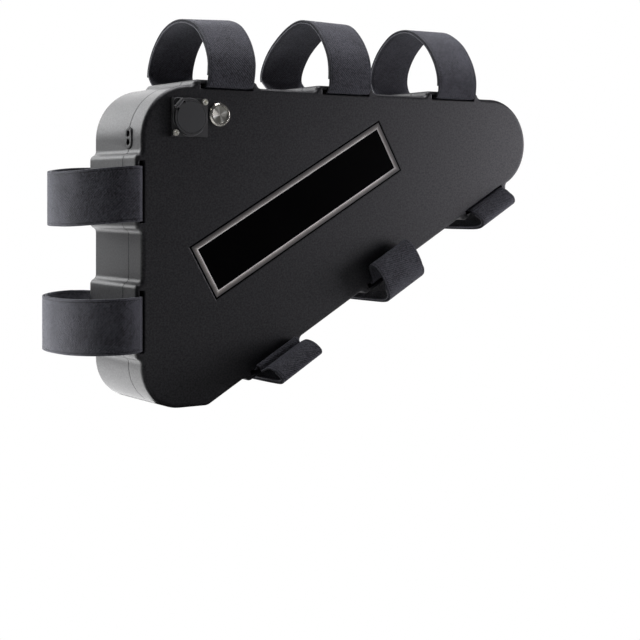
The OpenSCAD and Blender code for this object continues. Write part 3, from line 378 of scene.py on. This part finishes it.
def spun_shade(nt, b, centre):
    """A turned face: fine rings about its middle, crossed by two bright bands of painted highlight."""
    x, _, z = split(nt, coords(nt, location=tuple(-c for c in centre)))
    radius = maths(nt, "SQRT", add(nt, mul(nt, x, x), mul(nt, z, z)))
    line = nt.nodes.new("ShaderNodeCombineXYZ")
    nt.links.new(radius, line.inputs[0])
    rings = noise(nt, line.outputs[0], 9000, 3.0, 0.7)
    # Painted highlight: two crossed bright bands through the middle, standing in for the spun face's
    # reflections
    painted_streaks = None
    for turn, gain in ((22.5, 1.0), (110.7, 0.8)):
        c0, s0 = dirv(turn)
        q = add(nt, mul(nt, x, c0), mul(nt, z, s0))
        q = maths(nt, "ABSOLUTE", maths(nt, "DIVIDE", q, maths(nt, "MAXIMUM", radius, 0.00001)))
        q = mul(nt, maths(nt, "POWER", q, 40.0), gain)
        painted_streaks = q if painted_streaks is None else maths(nt, "MAXIMUM", painted_streaks, q)
    tangent = nt.nodes.new("ShaderNodeTangent")
    tangent.direction_type = "RADIAL"
    tangent.axis = "Y"
    nt.links.new(tangent.outputs[0], b.inputs["Tangent"])
    b.inputs["Anisotropic"].default_value = 0.9
    b.inputs["Anisotropic Rotation"].default_value = 0.25
    return add(nt, mul(nt, painted_streaks, 0.75), mul(nt, rings, 0.25))


def metal(name, base, rough, spun_about=None, brushed=None, spread=0.08):
    """Bare or plated metal: spun about a place with bands of painted highlight, brushed along the axis of
    least scale, or plain.
    """
    m, nt, b = material(name)
    b.inputs["Metallic"].default_value = 1.0
    v = coords(nt)
    _, rounded = edge_light(nt, 0.0003)
    broad = noise(nt, v, 240, 4.0, 0.6)
    if spun_about:
        k = spun_shade(nt, b, spun_about)
    elif brushed:
        k = noise(nt, coords(nt, brushed), 60, 4.0, 0.7)
    else:
        k = noise(nt, v, 2400, 3.0, 0.6)
    # On a spun face k carries the painted highlight bands into the colour
    nt.links.new(mix(nt, k, *shades(base, spread)), b.inputs["Base Color"])
    rr = add(nt, mul(nt, k, 0.10), rough - 0.05)
    rr = add(nt, rr, mul(nt, ramp(nt, broad, [(0.55, 0.0), (0.8, 1.0)]), 0.08))
    nt.links.new(rr, b.inputs["Roughness"])
    bump(nt, b, k, 0.08, 0.0001, rounded)
    return m


def label_depth(nt):
    """Millimetres from the label's nearest edge, and the places along and across it."""
    t = nt.nodes.new("ShaderNodeTexCoord")
    off = nt.nodes.new("ShaderNodeVectorMath")
    off.operation = "SUBTRACT"
    off.inputs[1].default_value = at(LABEL_X, 0.0, -LABEL_DROP)
    nt.links.new(t.outputs["Object"], off.inputs[0])
    mp = nt.nodes.new("ShaderNodeMapping")
    mp.inputs["Rotation"].default_value = (0, math.radians(SLOPE), 0)
    mp.inputs["Scale"].default_value = (1000, 1000, 1000)
    nt.links.new(off.outputs[0], mp.inputs["Vector"])
    x, _, z = split(nt, mp.outputs["Vector"])
    along = sub(nt, LABEL_L / 2, maths(nt, "ABSOLUTE", x))
    across = sub(nt, LABEL_W / 2, maths(nt, "ABSOLUTE", z))
    return maths(nt, "MINIMUM", along, across), x, z


def label_black():
    """Printed film: pure black, with haze and dust seen only in the sheen."""
    m, nt, b = material("label_black_film")
    v = coords(nt)
    haze = noise(nt, v, 30, 4.0, 0.6)
    dust = noise(nt, v, 2600, 2.0, 0.6)
    nt.links.new(mix(nt, dust, (0.0002, 0.0002, 0.0003), (0.0006, 0.0006, 0.0007)), b.inputs["Base Color"])
    nt.links.new(add(nt, mul(nt, haze, 0.12), 0.30), b.inputs["Roughness"])
    b.inputs["Specular IOR Level"].default_value = 0.02
    bump(nt, b, dust, 0.03, 0.0001)
    return m


def label_silver():
    """Silver print: a band that pales inwards in fine steps, then a bright line."""
    m, nt, b = material("label_silver_print")
    depth, x, z = label_depth(nt)
    fine = noise(nt, coords(nt), 2200, 3.0, 0.6)
    streak = noise(nt, coords(nt, (1, 1, 30), (0, math.radians(SLOPE), 0)), 9, 2.0, 0.5)
    k = add(nt, maths(nt, "DIVIDE", depth, 6.0), mul(nt, wave(nt, depth, 0.9), 0.05))
    k = add(nt, k, mul(nt, sub(nt, streak, 0.5), 0.12))
    k = add(nt, k, mul(nt, sub(nt, fine, 0.5), 0.06))
    silver = ramp(nt, k, [(0.20, (0.07, 0.068, 0.066)), (0.42, (0.15, 0.135, 0.125)),
                          (0.62, (0.34, 0.31, 0.28)), (0.68, (0.80, 0.77, 0.73)), (0.80, (0.90, 0.88, 0.85))])
    # The silver is darker along the upper side and the nose end
    darkening = maths(nt, "MAXIMUM", maths(nt, "DIVIDE", z, LABEL_W / 2), maths(nt, "DIVIDE", x, LABEL_L / 2))
    darkening = ramp(nt, darkening, [(0.75, 1.0), (0.9, 0.55)])
    nt.links.new(mix(nt, darkening, (0.0, 0.0, 0.0), silver), b.inputs["Base Color"])
    nt.links.new(add(nt, mul(nt, fine, 0.1), 0.42), b.inputs["Roughness"])
    bump(nt, b, fine, 0.05, 0.0001)
    return m


def sheet_material(name, base, rough, grain):
    """Film, fibre, foam or laminate, mottled by its grain."""
    m, nt, b = material(name)
    v = coords(nt)
    fine = noise(nt, v, grain, 4.0, 0.6)
    broad = noise(nt, v, grain / 12, 3.0, 0.5)
    pale = tuple(min(1, c * 1.15) for c in base)
    nt.links.new(mix(nt, fine, tuple(c * 0.8 for c in base), pale), b.inputs["Base Color"])
    nt.links.new(add(nt, mul(nt, broad, 0.2), rough - 0.1), b.inputs["Roughness"])
    bump(nt, b, fine, 0.1, 0.0002)
    return m


BUTTON_C = sum((Vector(c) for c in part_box("button_plunger")), Vector()) / 2
CASE = case_material()
WEB_OUT = webbing_material("webbing_twill", (0.008, 0.008, 0.0105), (0.079, 0.079, 0.095))
WEB_IN = webbing_material("webbing_loops", (0.018, 0.018, 0.022), (0.066, 0.066, 0.078), True)
WEB_EDGE = webbing_material("webbing_selvedge_dark", (0.002, 0.002, 0.003), (0.014, 0.014, 0.017))
WEB_LIP = webbing_material("webbing_selvedge_pale", (0.05, 0.05, 0.058), (0.13, 0.13, 0.145))
PORT = plain_plastic("port_black", (0.040, 0.0405, 0.041), 0.5, edge=0.00018)
INSERT = plain_plastic("insert_grey", (0.05, 0.05, 0.055), 0.5)
CAP = plain_plastic("cap_grey", (0.052, 0.053, 0.054), 0.55, grain=2600, spec=0.35)
BEAD = plain_plastic("port_bead_grey", (0.105, 0.106, 0.107), 0.45, grain=2600)
SEAL = plain_plastic("seal_rubber_black", (0.012, 0.012, 0.012), 0.7, spec=0.3)
LBL_BLACK = label_black()
LBL_SILVER = label_silver()
BLACK_STEEL = metal("blackened_steel_screw", (0.09, 0.09, 0.095), 0.4)
BRIGHT = metal("bright_steel_turned", (0.95, 0.93, 0.82), 0.30)
NICKEL = metal("nickel_spun", (0.76, 0.745, 0.645), 0.36, spun_about=BUTTON_C, spread=0.45)
NICKEL_RIM = metal("nickel_polished", (0.88, 0.86, 0.77), 0.24)
BRASS = metal("contact_plating", (0.83, 0.64, 0.30), 0.25)
ALU = metal("sink_sawn", (0.72, 0.72, 0.74), 0.38, brushed=(1, 20, 400))
CELL = sheet_material("cell_shrink_wrap", (0.03, 0.20, 0.26), 0.35, 500)
HOLDER = plain_plastic("holder_black", (0.03, 0.03, 0.03), 0.5)
NI_STRIP = metal("nickel_strip", (0.7, 0.69, 0.66), 0.3, brushed=(30, 1, 400))
FIBRE = sheet_material("insulation_fibre", (0.62, 0.55, 0.38), 0.8, 900)
FOAM = sheet_material("foam_closed_cell", (0.05, 0.05, 0.05), 0.9, 2600)
LAMINATE = sheet_material("board_green", (0.01, 0.13, 0.05), 0.35, 300)
CHIP = plain_plastic("chip_black", (0.02, 0.02, 0.02), 0.45)
CONN = plain_plastic("connector_white", (0.7, 0.69, 0.64), 0.4)
FUSE = plain_plastic("fuse_amber", (0.6, 0.33, 0.03), 0.25)

BY_NODE = {
    "case_seal": SEAL, "case_screws": BLACK_STEEL, "label_panel": LBL_BLACK, "label_border": LBL_SILVER,
    "rear_label_panel": LBL_BLACK, "port_gasket": SEAL, "port_shell": PORT, "port_insert": INSERT,
    "port_pins": BRASS, "port_cap": CAP, "port_hinge_pin": BRIGHT, "port_screws": BRIGHT,
    "button_housing": NICKEL_RIM, "button_plunger": NICKEL, "button_spring": BRIGHT, "button_nut": NICKEL_RIM,
    "button_terminals": BRASS, "cable_grommet": CASE, "front_cell_holder": HOLDER, "rear_cell_holder": HOLDER,
    "front_nickel_strips": NI_STRIP, "rear_nickel_strips": NI_STRIP, "front_insulation_sheet": FIBRE,
    "rear_insulation_sheet": FIBRE, "front_foam_pad": FOAM, "rear_foam_pad": FOAM, "board": LAMINATE,
    "board_heat_sink": ALU, "board_transistors": CHIP, "board_connector": CONN, "board_screws": BRIGHT,
    "fuse_holder": HOLDER, "fuse": FUSE, "rear_tray": CASE, "front_lid": CASE,
}
for name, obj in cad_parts.items():
    mat = BY_NODE.get(name, CELL if name.startswith("cell_group") else WEB_OUT)
    if len(obj.data.materials) == 0:
        obj.data.materials.append(mat)
    for mat_slot in obj.material_slots:
        mat_slot.material = mat


# Meshes
def new_object(name, bm):
    me = bpy.data.meshes.new(name)
    bm.to_mesh(me)
    bm.free()
    o = bpy.data.objects.new(name, me)
    scene.collection.objects.link(o)
    return o


def make(name, bm, mats, replaced=()):
    bm.normal_update()
    o = new_object(name, bm)
    for mt in mats:
        o.data.materials.append(mt)
    for p in o.data.polygons:
        p.use_smooth = True
    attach(o, "case")
    if replaced:
        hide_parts(*replaced)
    return o


def tube(bm, rings):
    """Quads from each ring to the next, and a face over both ends."""
    for p, q in zip(rings, rings[1:]):
        for k in range(len(p)):
            j = (k + 1) % len(p)
            bm.faces.new((p[k], p[j], q[j], q[k]))
    bm.faces.new(rings[0])
    bm.faces.new(list(reversed(rings[-1])))


def across(path, i):
    """Unit vector at right angles to a path, towards the inside of a strap's loop."""
    a, b = path[max(i - 1, 0)], path[min(i + 1, len(path) - 1)]
    dx, dy = b[0] - a[0], b[1] - a[1]
    q = math.hypot(dx, dy) or 1.0
    return dy / q, -dx / q


def cut(target, bm, name):
    bmesh.ops.recalc_face_normals(bm, faces=bm.faces)
    tool = new_object(name, bm)
    tool_mesh, old = tool.data, target.data
    md = target.modifiers.new(name, "BOOLEAN")
    md.operation = "DIFFERENCE"
    md.solver = "EXACT"
    md.object = tool
    dg = bpy.context.evaluated_depsgraph_get()
    target.data = bpy.data.meshes.new_from_object(target.evaluated_get(dg))
    target.modifiers.clear()
    bpy.data.meshes.remove(old)
    bpy.data.objects.remove(tool)
    bpy.data.meshes.remove(tool_mesh)


# Case halves with rolled edges
def ring_at(inset, y, plain=False):
    """The case's outline, or the one without its pads, moved inwards."""
    k = 4 if plain else 0
    return [at(p[k] - inset * p[k + 2], y, p[k + 1] - inset * p[k + 3]) for p in RING]


def shell(name, levels, inner_levels, replaced):
    """levels run from the seam outwards to the face, inner_levels from the inner face back to the seam."""
    bm = bmesh.new()
    loops = []
    for k, (inset, y) in enumerate(levels + inner_levels):
        loops.append([bm.verts.new(c) for c in ring_at(inset, y, k >= len(levels))])
    for k in range(len(loops)):
        a, b = loops[k], loops[(k + 1) % len(loops)]
        if k == len(levels) - 1:
            bm.faces.new(a)
            bm.faces.new(b)
            continue
        for i in range(len(a)):
            j = (i + 1) % len(a)
            bm.faces.new((a[i], a[j], b[j], b[i]))
    bmesh.ops.recalc_face_normals(bm, faces=bm.faces)
    return make(name, bm, [CASE], replaced)


def case_half(name, face, sign, replaced):
    """One half, from its soft edge at the seam to the rolled edge at its face; sign points to the face."""
    levels = [(inset, SEAM + sign * d) for inset, d in SEAM_SOFT]
    levels.append((0.0, face - sign * (FILLET + FILLET_EASE)))
    for k in range(FILLET_PARTS + 1):
        c, s = dirv(90 * k / FILLET_PARTS)
        levels.append((FILLET * (1 - c), face - sign * FILLET * (1 - s)))
    cavity = WALL + CAVITY_IN
    return shell(name, levels, [(cavity, face - sign * WALL), (cavity, SEAM)], [replaced])


lid = case_half("lid_rolled", FRONT, -1, "front_lid")
tray = case_half("tray_rolled", BACK, 1, "rear_tray")


def slots_tool():
    """Strap slots through the case, flared at both mouths."""
    bm = bmesh.new()
    top = PAD_RISE - BRIDGE
    low = [(FRONT - OVERRUN, -SLOT_SINK - FLARE_IN), (FRONT, -SLOT_SINK - FLARE_IN),
           (FRONT + FLARE_L, -SLOT_SINK), (BACK - FLARE_L, -SLOT_SINK),
           (BACK, -SLOT_SINK - FLARE_IN), (BACK + OVERRUN, -SLOT_SINK - FLARE_IN)]
    high = [(BACK + OVERRUN, top + FLARE_OUT), (BACK, top + FLARE_OUT), (BACK - FLARE_L, top),
            (FRONT + FLARE_L, top), (FRONT, top + FLARE_OUT), (FRONT - OVERRUN, top + FLARE_OUT)]
    for c, deg in PADS:
        c0, s0 = dirv(deg)
        tube(bm, [[bm.verts.new(at(c[0] + e * s0 + v * c0, y, c[1] - e * c0 + v * s0)) for y, v in low + high]
                  for e in (-SLOT_W / 2, SLOT_W / 2)])
    return bm


def box_tool(x, y, z, length, width):
    """A recess in one face, turned along the slanted edge."""
    bm = bmesh.new()
    c0, s0 = dirv(SLOPE)
    corners = [(sx * length / 2, sz * width / 2) for sx, sz in ((-1, -1), (1, -1), (1, 1), (-1, 1))]
    tube(bm, [[bm.verts.new(at(x + dx * c0 - dz * s0, y + side * RECESS, z + dx * s0 + dz * c0))
               for dx, dz in corners] for side in (-1, 1)])
    return bm


def bars_tool(bars, y0, y1, n):
    """Round holes, given as x, z and radius, from y0 to y1."""
    bm = bmesh.new()
    for x, z, r in bars:
        turns = [2 * math.pi * k / n for k in range(n)]
        tube(bm, [[bm.verts.new(at(x + r * math.cos(a), y, z + r * math.sin(a))) for a in turns]
                  for y in (y0, y1)])
    return bm


def outlet_tool(n=24):
    """The long hole for the cable outlet, through the upright wall on the seam."""
    bm = bmesh.new()
    rings = []
    for x in (-OVERRUN, OUTLET_DEPTH):
        ring = []
        for k in range(n):
            a = 2 * math.pi * k / n
            dz = OUTLET_R * math.sin(a) + (OUTLET_HALF if math.sin(a) > 0 else -OUTLET_HALF)
            ring.append(bm.verts.new(at(x, SEAM + OUTLET_R * math.cos(a), dz - OUTLET_DROP)))
        rings.append(ring)
    tube(bm, rings)
    return bm


def screw_places():
    """Places of the case screws: in the corners and between the pads."""
    inset = BOSS_D / 2 + WALL + BOSS_GAP
    corner = (TOP_R - inset) * math.sqrt(0.5)
    places = [(TOP_R - corner, -TOP_R + corner)]
    places += [((a + b) / 2, -inset) for a, b in zip(TOP_PADS, TOP_PADS[1:])]
    places.append((NOSE_C[0] + NOSE_R - inset, NOSE_C[1]))
    d, o = dirv(SLOPE), dirv(LOWER_DIR)
    for a, b in zip(LOWER_PADS, LOWER_PADS[1:]):
        q = (a + b) / 2
        places.append((NOSE_END[0] - q * d[0] - inset * o[0], NOSE_END[1] - q * d[1] - inset * o[1]))
    places.append((LOW_R + BOSS_D / 2, inset - CASE_H))
    places.append((inset, (SEAT_PADS[0] + SEAT_PADS[1]) / 2))
    return places


for half in (lid, tray):
    cut(half, slots_tool(), "slots")
FRONT_HOLES = [(PORT_X, -PORT_DROP, PORT_HOLE_R), (BUTTON_X, -BUTTON_DROP, BUTTON_HOLE_R)]
cut(lid, bars_tool(FRONT_HOLES, FRONT - OVERRUN, FRONT + WALL + OVERRUN, 48), "port_holes")
cut(lid, box_tool(LABEL_X, FRONT, -LABEL_DROP, LABEL_L, LABEL_W), "label_recess")
SINKS = [(x, z, SINK_R) for x, z in screw_places()]
cut(tray, bars_tool(SINKS, SEAM + SINK_FLOOR, BACK + OVERRUN, 32), "counterbores")
cut(tray, box_tool(CASE_L * REAR_LABEL_SHARES[0], BACK, -CASE_H * REAR_LABEL_SHARES[1],
                   REAR_LABEL_L, REAR_LABEL_W), "rear_recess")
for half in (lid, tray):
    cut(half, outlet_tool(), "outlet")
    half.data.materials.clear()
    half.data.materials.append(CASE)
    for p in half.data.polygons:
        p.use_smooth = abs(p.normal.y) < 0.9999
        p.material_index = 0
    half.modifiers.new("smooth", "EDGE_SPLIT").split_angle = math.radians(SHARP_DEG)


# Trim and spring
def bead(name, a0, a1, sides=10):
    """The moulded bead round the dust cap, with a lobe round its hinge, thinner towards its ends."""
    n = int((a1 - a0) / 3)
    line = []
    for k in range(n + 1):
        a = a0 + (a1 - a0) * k / n
        q = BEAD_PATH_R + LOBE * math.exp(-((a - LOBE_AT) / LOBE_SPREAD) ** 2)
        d = dirv(a)
        line.append((PORT_X + q * d[0], q * d[1] - PORT_DROP))
    bm = bmesh.new()
    rings = []
    for k, (x, z) in enumerate(line):
        wx, wz = across(line, k)
        size = BEAD_R * min(1.0, 0.35 + k / 3, 0.35 + (n - k) / 3)
        ring = []
        for j in range(sides):
            c, s = dirv(360 * j / sides)
            y = FRONT - PORT_FLANGE - size * s * BEAD_FLAT_SHARE
            ring.append(bm.verts.new(at(x + size * c * wx, y, z + size * c * wz)))
        rings.append(ring)
    tube(bm, rings)
    bmesh.ops.recalc_face_normals(bm, faces=bm.faces)
    make(name, bm, [BEAD])


bead("port_bead_hinge_side", 62.0, 207.0)
bead("port_bead_nose_side", 243.0, 388.0)


def coil_spring(name, node_name, turns, wire, turn_parts=28, sides=8):
    """Wound wire in the node's place. Lengths are in metres."""
    a, b = (Vector(c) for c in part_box(node_name))
    mid, r, rw = (a + b) / 2, (b.x - a.x) / 2 - wire / 2, wire / 2
    bm = bmesh.new()
    n, rings = int(turns * turn_parts), []
    for i in range(n + 1):
        turn = 2 * math.pi * turns * i / n
        out = Vector((math.cos(turn), 0, math.sin(turn)))
        c = Vector((mid.x, a.y + rw + (b.y - a.y - 2 * rw) * i / n, mid.z)) + out * r
        rings.append([bm.verts.new(c + (out * math.cos(g) + Vector((0, math.sin(g), 0))) * rw)
                      for g in (2 * math.pi * k / sides for k in range(sides))])
    tube(bm, rings)
    bmesh.ops.recalc_face_normals(bm, faces=bm.faces)
    o = make(name, bm, [BRIGHT], [node_name])
    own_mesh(o)


coil_spring("button_coil_spring", "button_spring", 3.5, 0.0006)

# Straps. Each loop's outline is in shares of half the case's depth and of the loop's height
ROUND_SHARES = [
    (-1.06, 0.10), (-1.06, 0.24), (-1.00, 0.44), (-0.80, 0.67), (-0.45, 0.88), (0.02, 0.985),
    (0.46, 0.985), (0.88, 0.88), (1.22, 0.66), (1.40, 0.42), (1.42, 0.24), (1.24, 0.11),
]
PEAKED_SHARES = [
    (-1.06, 0.10), (-1.05, 0.30), (-0.98, 0.50), (-0.76, 0.73), (-0.42, 0.92), (-0.05, 0.985),
    (0.30, 0.96), (0.72, 0.85), (1.18, 0.65), (1.46, 0.42), (1.50, 0.24), (1.26, 0.11),
]
UPRIGHT_SHARES = [
    (-1.06, 0.10), (-1.04, 0.28), (-0.90, 0.52), (-0.60, 0.77), (-0.15, 0.95), (0.24, 0.99),
    (0.62, 0.93), (1.00, 0.75), (1.24, 0.54), (1.32, 0.36), (1.28, 0.20), (1.16, 0.10),
]
BULGED_SHARES = [
    (-1.10, 0.10), (-1.20, 0.26), (-1.18, 0.46), (-0.94, 0.72), (-0.52, 0.91), (-0.05, 0.985),
    (0.42, 0.985), (0.84, 0.90), (1.18, 0.68), (1.34, 0.44), (1.34, 0.24), (1.20, 0.11),
]
FLATTENED_SHARES = [
    (-1.062, -0.28), (-1.10, -0.50), (-1.17, -0.40), (-1.19, 0.00), (-1.30, -0.16), (-1.50, -0.42),
    (-1.70, -0.28), (-1.82, 0.12), (-1.84, 0.52), (-1.72, 0.86), (-1.40, 0.94), (-0.60, 0.94),
    (0.30, 0.94), (0.90, 0.93), (1.18, 0.72), (1.20, 0.36),
]
FOLDED_SHARES = [
    (-1.07, -0.28), (-1.10, -0.60), (-1.19, -0.82), (-1.33, -0.76), (-1.41, -0.42), (-1.42, 0.05),
    (-1.36, 0.42), (-1.20, 0.76), (-0.94, 0.94), (-0.40, 0.965), (0.30, 0.965), (0.86, 0.92),
    (1.20, 0.70), (1.28, 0.40), (1.16, 0.16),
]
LOW_SHARES = [
    (-1.09, 0.09), (-1.18, 0.26), (-1.21, 0.48), (-1.12, 0.75), (-0.84, 0.93), (-0.30, 0.965),
    (0.34, 0.965), (0.88, 0.92), (1.20, 0.72), (1.27, 0.42), (1.16, 0.16),
]
TUNNEL_V = (PAD_RISE - BRIDGE - SLOT_SINK) / 2
MOUTH_U = BACK + STRAP_T / 2 + SOFT_GAP
MOUTH_R = 1.5 * STRAP_T
PATH_STEPS, FACE_PARTS = 8, 10
START_SHARE, FOLD_START_SHARE, END_SHARE = 0.16, 0.42, 0.8
LAP_SHARE, LAP_RAMP_SHARE = 0.95, 0.12
CLEAR_V, RISE_SHARE = 5.0, 0.85
EDGE_BAND = 0.2
SHIFT = (SLOT_W - STRAP_W) / 2 - SOFT_GAP
SEAT_SHIFT = SHIFT * 0.6


def smooth_path(pts):
    """A Catmull-Rom curve through the points."""
    n = len(pts) - 1
    path = []
    for i in range(n):
        a, b, c, d = pts[max(i - 1, 0)], pts[i], pts[i + 1], pts[min(i + 2, n)]
        for k in range(PATH_STEPS):
            t = k / PATH_STEPS
            path.append(tuple(0.5 * ((2 * b[j]) + (c[j] - a[j]) * t
                                     + (2 * a[j] - 5 * b[j] + 4 * c[j] - d[j]) * t * t
                                     + (3 * b[j] - a[j] - 3 * c[j] + d[j]) * t ** 3) for j in range(2)))
    path.append(pts[n])
    return path


def loop_line(share, h, start):
    """The tape's middle line: an inner lap, once round through the slot, and its outer lap."""
    turn = 1 if share[0][1] > 0 else -1
    pts = [(-MOUTH_U + MOUTH_R, TUNNEL_V), (-MOUTH_U, TUNNEL_V + turn * MOUTH_R)]
    pts += [(a * CASE_D / 2, b * h) for a, b in share]
    pts += [(MOUTH_U, TUNNEL_V + MOUTH_R), (MOUTH_U - MOUTH_R, TUNNEL_V)]
    path = smooth_path(pts)
    n = len(path) - 1
    line = []
    for i in range(round(n * start), n + 1):
        step = (STRAP_T + LAYER_GAP) * max(0.0, min(1.0, (LAP_SHARE - i / n) / LAP_RAMP_SHARE))
        w = across(path, i)
        line.append((path[i][0] + w[0] * step, path[i][1] + w[1] * step))
    return line + path[:round(n * END_SHARE) + 1], len(line)


def tape_section():
    """The tape's cross-section: outer face, rolled selvedge, inner face, rolled selvedge."""
    hw, ht, r = STRAP_W / 2, STRAP_T / 2, ROLL_R
    half = [(-hw + r + (2 * hw - 2 * r) * k / FACE_PARTS, -ht) for k in range(FACE_PARTS + 1)]
    turns = [dirv(30), dirv(60)]
    half += [(hw - r + r * s, -ht + r - r * c) for c, s in turns]
    half += [(hw, -ht + r), (hw, ht - r)]
    half += [(hw - r + r * c, ht - r + r * s) for c, s in turns]
    return half + [(-s, -t) for s, t in half]


def strap(name, node_name, share, h, place, deg, shift, start=START_SHARE,
          droop=0.0, flare=0.0, swell=0.0, slide=0.0):
    """Tape swept along its loop; clear of its slot it may droop or slide sideways, flare or swell."""
    line, joint = loop_line(share, h, start)
    sec = tape_section()
    hw = STRAP_W / 2
    c0, s0 = dirv(deg)
    bm = bmesh.new()
    uv = bm.loops.layers.uv.new("UVMap")
    along = [0.0]
    for a, b in zip(line, line[1:]):
        along.append(along[-1] + math.hypot(b[0] - a[0], b[1] - a[1]))
    rows = []
    for i, (u, v) in enumerate(line):
        wu, wv = across(line, i)
        rise = max(0.0, min(1.0, (v - CLEAR_V) / (RISE_SHARE * h)))
        early = min(1.0, 4 * rise)
        side = shift + droop * rise ** 1.5 + slide * early
        row = []
        for s, t in sec:
            # Local axes: s along the pad's edge, u through the case, v outwards
            out = t - flare * rise * (s / hw + 1) / 2 - swell * early
            uu, vv, ss = u + wu * out, v + wv * out, s + side
            row.append(bm.verts.new(at(place[0] + ss * s0 + vv * c0, uu, place[1] - ss * c0 + vv * s0)))
        rows.append(row)
    for i in range(len(line) - 1):
        for j in range(len(sec)):
            k = (j + 1) % len(sec)
            face = bm.faces.new((rows[i][j], rows[i][k], rows[i + 1][k], rows[i + 1][j]))
            if min(abs(sec[j][0]), abs(sec[k][0])) > hw - EDGE_BAND:
                face.material_index = 2 if i >= joint else 3
            else:
                face.material_index = 1 if min(sec[j][1], sec[k][1]) > STRAP_T / 4 else 0
            for lp, length, width in zip(face.loops, (along[i], along[i], along[i + 1], along[i + 1]),
                                         (sec[j][0], sec[k][0], sec[k][0], sec[j][0])):
                lp[uv].uv = (length, width)
    bm.faces.new(list(reversed(rows[0])))
    bm.faces.new(rows[-1])
    bmesh.ops.recalc_face_normals(bm, faces=bm.faces)
    make(name, bm, [WEB_OUT, WEB_IN, WEB_EDGE, WEB_LIP], [node_name])


strap("strap_top_a", "top_strap_1", ROUND_SHARES, 51.0, (TOP_PADS[0], 0.0), 90, SHIFT,
      droop=1.6, flare=1.6, slide=0.9)
strap("strap_top_b", "top_strap_2", PEAKED_SHARES, 56.5, (TOP_PADS[1], 0.0), 90, SHIFT,
      flare=-0.9, swell=0.5, slide=0.3)
strap("strap_top_c", "top_strap_3", UPRIGHT_SHARES, 55.5, (TOP_PADS[2], 0.0), 90, SHIFT,
      flare=0.2, swell=0.9)
strap("strap_seat_a", "seat_strap_1", ROUND_SHARES, 43.0, (0.0, SEAT_PADS[0]), 180, -SEAT_SHIFT,
      droop=-3.6)
strap("strap_seat_b", "seat_strap_2", BULGED_SHARES, 47.0, (0.0, SEAT_PADS[1]), 180, -SEAT_SHIFT,
      droop=-1.6)
strap("strap_lower_a", "lower_strap_1", FLATTENED_SHARES, 8.4, lower_place(2), LOWER_DIR, -SHIFT,
      FOLD_START_SHARE, flare=1.5)
strap("strap_lower_b", "lower_strap_2", FOLDED_SHARES, 19.6, lower_place(1), LOWER_DIR, -SHIFT,
      FOLD_START_SHARE, droop=-3.5, slide=-0.9)
strap("strap_lower_c", "lower_strap_3", LOW_SHARES, 19.6, lower_place(0), LOWER_DIR, -SHIFT,
      droop=-3.0, slide=-0.9)

# Stage, light and camera
lo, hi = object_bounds()
FLOOR_GAP, FLOOR_HALF = 0.0002, 6
floor_z = lo[2] - FLOOR_GAP


def seen_apart(nt, out, lit, seen):
    """The camera sees one shader, and all other rays meet the other."""
    lp = nt.nodes.new("ShaderNodeLightPath")
    mx = nt.nodes.new("ShaderNodeMixShader")
    nt.links.new(lp.outputs["Is Camera Ray"], mx.inputs[0])
    nt.links.new(lit.outputs[0], mx.inputs[1])
    nt.links.new(seen.outputs[0], mx.inputs[2])
    nt.links.new(mx.outputs[0], nt.nodes.new(out).inputs[0])


def coloured(nt, kind, colour, strength=None):
    n = nt.nodes.new(kind)
    n.inputs["Color"].default_value = (*colour, 1)
    if strength is not None:
        n.inputs["Strength"].default_value = strength
    return n


def floor_material():
    """Pale to the camera, and a soft grey reflector to the object."""
    m = bpy.data.materials.new("floor_pale")
    m.use_nodes = True
    nt = m.node_tree
    nt.nodes.clear()
    seen_apart(nt, "ShaderNodeOutputMaterial",
               coloured(nt, "ShaderNodeBsdfDiffuse", (0.37, 0.37, 0.37)),
               coloured(nt, "ShaderNodeEmission", (1, 1, 1)))
    return m


bm = bmesh.new()
bm.faces.new([bm.verts.new((x * FLOOR_HALF, y * FLOOR_HALF, floor_z))
              for x, y in ((-1, -1), (1, -1), (1, 1), (-1, 1))])
floor = new_object("floor", bm)
floor.data.materials.append(floor_material())
floor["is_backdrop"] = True

world = bpy.data.worlds.new("world")
scene.world = world
world.use_nodes = True
world.node_tree.nodes.clear()
seen_apart(world.node_tree, "ShaderNodeOutputWorld",
           coloured(world.node_tree, "ShaderNodeBackground", (0.93, 0.92, 1.0), 0.030),
           coloured(world.node_tree, "ShaderNodeBackground", (1, 1, 1), 1.0))


def area(name, loc, target, size, power, colour=(1, 1, 1)):
    d = bpy.data.lights.new(name, "AREA")
    d.shape = "RECTANGLE"
    d.size, d.size_y = size
    d.energy = power
    d.color = colour
    o = bpy.data.objects.new(name, d)
    scene.collection.objects.link(o)
    o.location = loc
    o.rotation_mode = "QUATERNION"
    o.rotation_quaternion = (Vector(target) - Vector(loc)).to_track_quat("-Z", "Y")
    o.visible_camera = False
    o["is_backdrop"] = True


area("left_back", (-0.95, 1.45, 0.75), (-0.17, 0.0, -0.05), (1.4, 1.3), 37, (0.985, 0.99, 1.0))
area("back_top", (0.35, 1.5, 0.85), (-0.1, 0.0, 0.0), (0.9, 0.9), 10)
area("right_side", (0.8, -0.34, -0.17), (0.12, 0.0, -0.08), (0.4, 0.7), 7.9, (0.955, 0.93, 1.0))
area("top", (0.1, 0.15, 1.6), (0.0, 0.0, 0.0), (1.4, 1.0), 45, (0.975, 0.965, 1.0))
area("table_left", (-0.33, 0.2, floor_z + 0.003), (-0.33, 0.2, 1.0), (0.50, 0.45), 2.4)

cam = bpy.data.cameras.new("camera")
cam.sensor_width = 36.0
cam.lens = 79.97
cam.shift_y = -0.19625
cam_o = bpy.data.objects.new("camera", cam)
scene.collection.objects.link(cam_o)
cam_o.location = (-0.6091, -0.9104, -0.0806)
cam_o.rotation_mode = "QUATERNION"
cam_o.rotation_quaternion = Vector((0.5573, 0.8303, 0.0)).to_track_quat("-Z", "Y")
scene.camera = cam_o

lo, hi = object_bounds()
